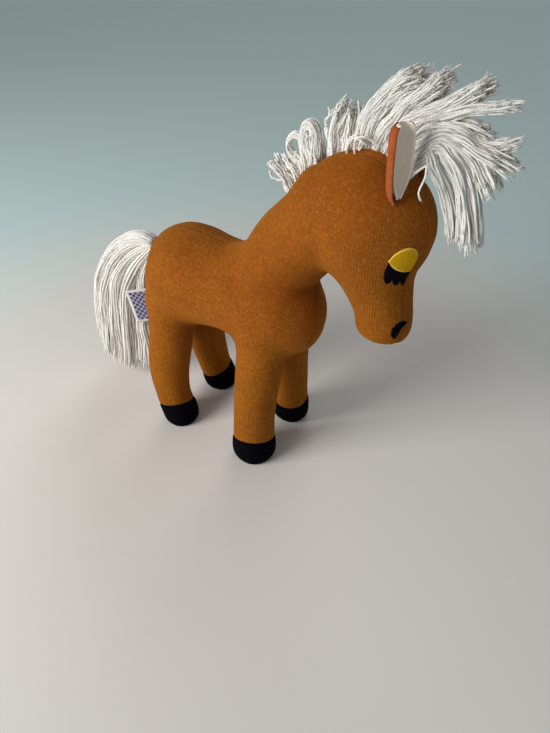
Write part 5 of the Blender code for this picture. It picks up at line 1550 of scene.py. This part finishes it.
# %% Rolled leaves
EAR_LENGTH = 27.5 * MM
EAR_RADIUS = 5.5 * MM
EAR_OPENS = -25.0
EAR_WRAP = math.radians(104.0)
EAR_STEP_BACK = math.radians(22.0)
EAR_ROWS = 34
EAR_COLUMNS = 33
RUST_THICKNESS = 0.85 * MM
LINING_THICKNESS = 0.95 * MM
# along the ear, radius of the rolled leaf
LINING_SHARES = (
    (0.00, 0.30), (0.08, 0.46), (0.20, 0.72), (0.34, 0.90), (0.50, 0.98), (0.70, 1.00), (0.88, 0.96),
    (0.96, 0.85), (1.00, 0.64),
)
RUST_SHARES = (
    (0.00, 0.50), (0.06, 0.74), (0.15, 0.88), (0.33, 0.97), (0.50, 1.00), (0.70, 1.00), (0.88, 0.96),
    (0.96, 0.85), (1.00, 0.64),
)


def ear_leaf(name, root, axis, opens, shares, outset, inset, first, last, turns):
    """A rolled leaf: axis point + radius(share) x the direction at each turn, for both its faces."""
    side = unit(np.cross(axis, opens))
    profile = curve_through(shares, 120)
    share = np.linspace(first, last, EAR_ROWS)[:, None]
    radius = EAR_RADIUS * np.interp(share, profile[:, 0], profile[:, 1])
    turn = np.linspace(*turns, EAR_COLUMNS)[None, :]
    ripple = 0.16 * MM * np.sin(share * 7.0 + 1.3) * np.cos(turn)
    middle = root + axis * (EAR_LENGTH * share[..., None])
    out = side * np.sin(turn)[..., None] - opens * np.cos(turn)[..., None]
    edge = np.clip(np.minimum(turn - turns[0], turns[1] - turn) * 5.0, 0.0, 1.0)
    edge = edge * np.clip((last - share) * 22.0, 0.0, 1.0)
    soft = 0.30 * (1 - edge) ** 2 * (outset - inset)
    outer = middle + out * (radius + outset + ripple - soft)[..., None]
    inner = middle + out * (radius + inset + ripple + soft)[..., None]
    return closed_sheet(name, outer, inner)


for word, side, body in (("right", 1, "right_ear"), ("left", -1, "left_ear")):
    root = skin_point(169.0 * MM, heading(side * -35.0)) + np.array([1.9, side * 0.35, 0.0]) * MM
    tip = root + UP * EAR_LENGTH + np.array([-0.5, -side * 2.0, 0.0]) * MM
    axis = unit(tip - root)
    opens = heading(side * EAR_OPENS)
    opens = unit(opens - axis * (opens @ axis))
    front = EAR_WRAP - EAR_STEP_BACK
    reach = (-EAR_WRAP, front) if side > 0 else (-front, EAR_WRAP)
    rust = tidy_mesh(ear_leaf(f"ear_{word}_felt", root, axis, opens, RUST_SHARES, 0.0, -RUST_THICKNESS,
                              -0.03, 0.985, reach))
    add_piece(rust, RUST_FELT, body, "felt_rust", f"ear_{word}")
    inner_face = -RUST_THICKNESS - LINING_THICKNESS
    reach = (0.12 - EAR_WRAP, EAR_WRAP) if side > 0 else (-EAR_WRAP, EAR_WRAP - 0.12)
    white = tidy_mesh(ear_leaf(f"ear_lining_{word}_felt", root, axis, opens, LINING_SHARES, -RUST_THICKNESS,
                               inner_face, 0.03, 1.0, reach))
    add_piece(white, WHITE_FELT, body, "felt_white", f"ear_lining_{word}")

# %% [markdown]
# ## Label
# A woven ribbon label is caught in the seam under the tail. The real one is printed; this one has a
# plain small check instead, with a white margin. It is a sheet of cloth: 27.5 mm stick out of the seam,
# 22.5 mm wide, with a slight curl and a wave.

# %% The ribbon
LABEL_SEAM = np.array([-50.777, 0.0, 72.3]) * MM
LABEL_WIDTH = 22.5 * MM
LABEL_REACH = 27.5 * MM
LABEL_TURN = 36.0
LABEL_PITCH = math.radians(9.5)
LABEL_CURL = 1.5 * MM
LABEL_THICKNESS = 0.5 * MM
LABEL_SEWN_IN = 0.6 * MM
LABEL_MARGIN = 1.6
LABEL_ROWS = 29
LABEL_COLUMNS = 25


def ribbon_material():
    """A woven check inside a white margin, from the label's own UV map in millimetres."""
    made, tree, shader, where = new_material("check_ribbon", 0.75, 0.1)
    cloth = cloth_place(tree)
    check = tree.nodes.new("ShaderNodeTexChecker")
    put(tree, check, ("Vector", cloth))
    put(tree, check, ("Scale", 0.62))
    parts = tree.nodes.new("ShaderNodeSeparateXYZ")
    tree.links.new(cloth, parts.inputs[0])
    margin = math_node(tree, "LESS_THAN", parts.outputs[0], LABEL_REACH / MM - LABEL_MARGIN)
    for edge in (math_node(tree, "GREATER_THAN", parts.outputs[1], LABEL_MARGIN),
                 math_node(tree, "LESS_THAN", parts.outputs[1], LABEL_WIDTH / MM - LABEL_MARGIN)):
        margin = math_node(tree, "MULTIPLY", margin, edge)
    worn = noise_node(tree, cloth, 1.1, 3.0)
    ink = math_node(tree, "MULTIPLY", check.outputs["Fac"], map_range(tree, worn, 0.30, 0.52, 0.55, 1.0))
    inside = mix_colour(tree, ink, (0.42, 0.40, 0.55, 1.0), (0.03, 0.025, 0.10, 1.0))
    tree.links.new(mix_colour(tree, margin, (0.82, 0.77, 0.75, 1.0), inside), shader.inputs["Base Color"])
    weave = tree.nodes.new("ShaderNodeTexWave")
    put(tree, weave, ("Vector", cloth))
    put(tree, weave, ("Scale", 1.4))
    bump(tree, shader, weave.outputs["Fac"], 0.05 * MM)
    return made


def ribbon(name):
    """Seam + outward x reach + a curl that grows with its square, and a wave across the width."""
    level = heading(180.0 + LABEL_TURN)
    outward = level * math.cos(LABEL_PITCH) - UP * math.sin(LABEL_PITCH)
    edge = UP * math.cos(LABEL_PITCH) + level * math.sin(LABEL_PITCH)
    across = np.cross(outward, edge)
    share = np.linspace(0.0, 1.0, LABEL_ROWS)[:, None, None]
    height = np.linspace(-0.5, 0.5, LABEL_COLUMNS)[None, :, None]
    wave = 0.35 * MM * np.sin(height * 5.0 + 0.8) * share
    out = outward * (LABEL_REACH * share - LABEL_SEWN_IN * (1 - share))
    middle = LABEL_SEAM + out + edge * (LABEL_WIDTH * height)
    middle = middle + across * (LABEL_CURL * share ** 2 + wave)
    half = across * (LABEL_THICKNESS / 2)
    mesh = closed_sheet(name, middle + half, middle - half)
    flat = np.broadcast_arrays(share * LABEL_REACH / MM, (height + 0.5) * LABEL_WIDTH / MM)
    set_uv(mesh, np.tile(np.stack(flat, axis=-1).reshape(-1, 2), (2, 1)))
    work = bmesh.new()
    work.from_mesh(mesh)
    bmesh.ops.recalc_face_normals(work, faces=work.faces)
    work.to_mesh(mesh)
    work.free()
    return mesh


label = add_piece(ribbon("label_ribbon"), ribbon_material(), "rear_label", "ribbon", "label")

# %% [markdown]
# ## Floor and light
# The horse stands on a plain pale floor that turns into a pale sage green far away, so that white yarn
# shows against it from every side. A large soft lamp on the left throws the short shadows that the
# photograph has to the right of the hooves, a weak one fills them, and the world gives the rest.

# %% Floor, lamps and world
FLOOR_RADIUS = 4.0
LAMP_SIZE = 0.5


def add_floor():
    """Lay a round floor whose colour changes far from the horse."""
    turn = np.linspace(0.0, 2 * math.pi, 64, endpoint=False)
    reach = np.array([0.05, 0.2, 0.6, FLOOR_RADIUS])
    points = np.stack([np.outer(reach, np.cos(turn)), np.outer(reach, np.sin(turn)),
                       np.zeros((4, 64))], axis=-1).reshape(-1, 3)
    corner = np.arange(64)
    fan = np.column_stack([corner, (corner + 1) % 64, np.full(64, len(points))])
    mesh = mesh_from("floor", np.vstack([points, np.zeros(3)]), grid_quads(4, 64, True)[:, ::-1], fan)
    made, tree, shader, where = new_material("pale_floor", 0.9)
    far = tree.nodes.new("ShaderNodeVectorMath")
    far.operation = "LENGTH"
    tree.links.new(where, far.inputs[0])
    away = map_range(tree, far.outputs["Value"], 0.15, 0.42)
    tree.links.new(mix_colour(tree, away, (0.80, 0.76, 0.72, 1.0), (0.62, 0.78, 0.76, 1.0)),
                   shader.inputs["Base Color"])
    mesh.materials.append(made)
    hold(mesh)


def add_lamp(name, place, power, size, colour):
    """Hang a soft square lamp that shines on the middle of the horse."""
    data = bpy.data.lights.new(name, "AREA")
    data.energy = power
    data.size = size
    data.color = colour
    made = bpy.data.objects.new(name, data)
    bpy.context.scene.collection.objects.link(made)
    made.location = place
    aim = Vector((0.0, 0.0, 0.08)) - Vector(place)
    made.rotation_euler = aim.to_track_quat("-Z", "Y").to_euler()


def add_fill(name, direction, strength, spread, colour):
    """Add an even light from one side of the sky, as wide as the angle that it spreads over."""
    data = bpy.data.lights.new(name, "SUN")
    data.energy = strength
    data.angle = math.radians(spread)
    data.color = colour
    made = bpy.data.objects.new(name, data)
    bpy.context.scene.collection.objects.link(made)
    made.rotation_euler = (-Vector(direction)).to_track_quat("-Z", "Y").to_euler()


add_floor()
add_lamp("window_light", (-0.42, -0.72, 0.40), 8.0, LAMP_SIZE, (1.0, 0.985, 0.96))
add_fill("fill_light", (-0.30, 0.80, 0.45), 0.7, 38.0, (0.96, 0.98, 1.0))
world = bpy.data.worlds.new("studio")
bpy.context.scene.world = world
world.use_nodes = True
world.node_tree.nodes["Background"].inputs["Color"].default_value = (0.90, 0.94, 0.95, 1.0)
world.node_tree.nodes["Background"].inputs["Strength"].default_value = 0.24
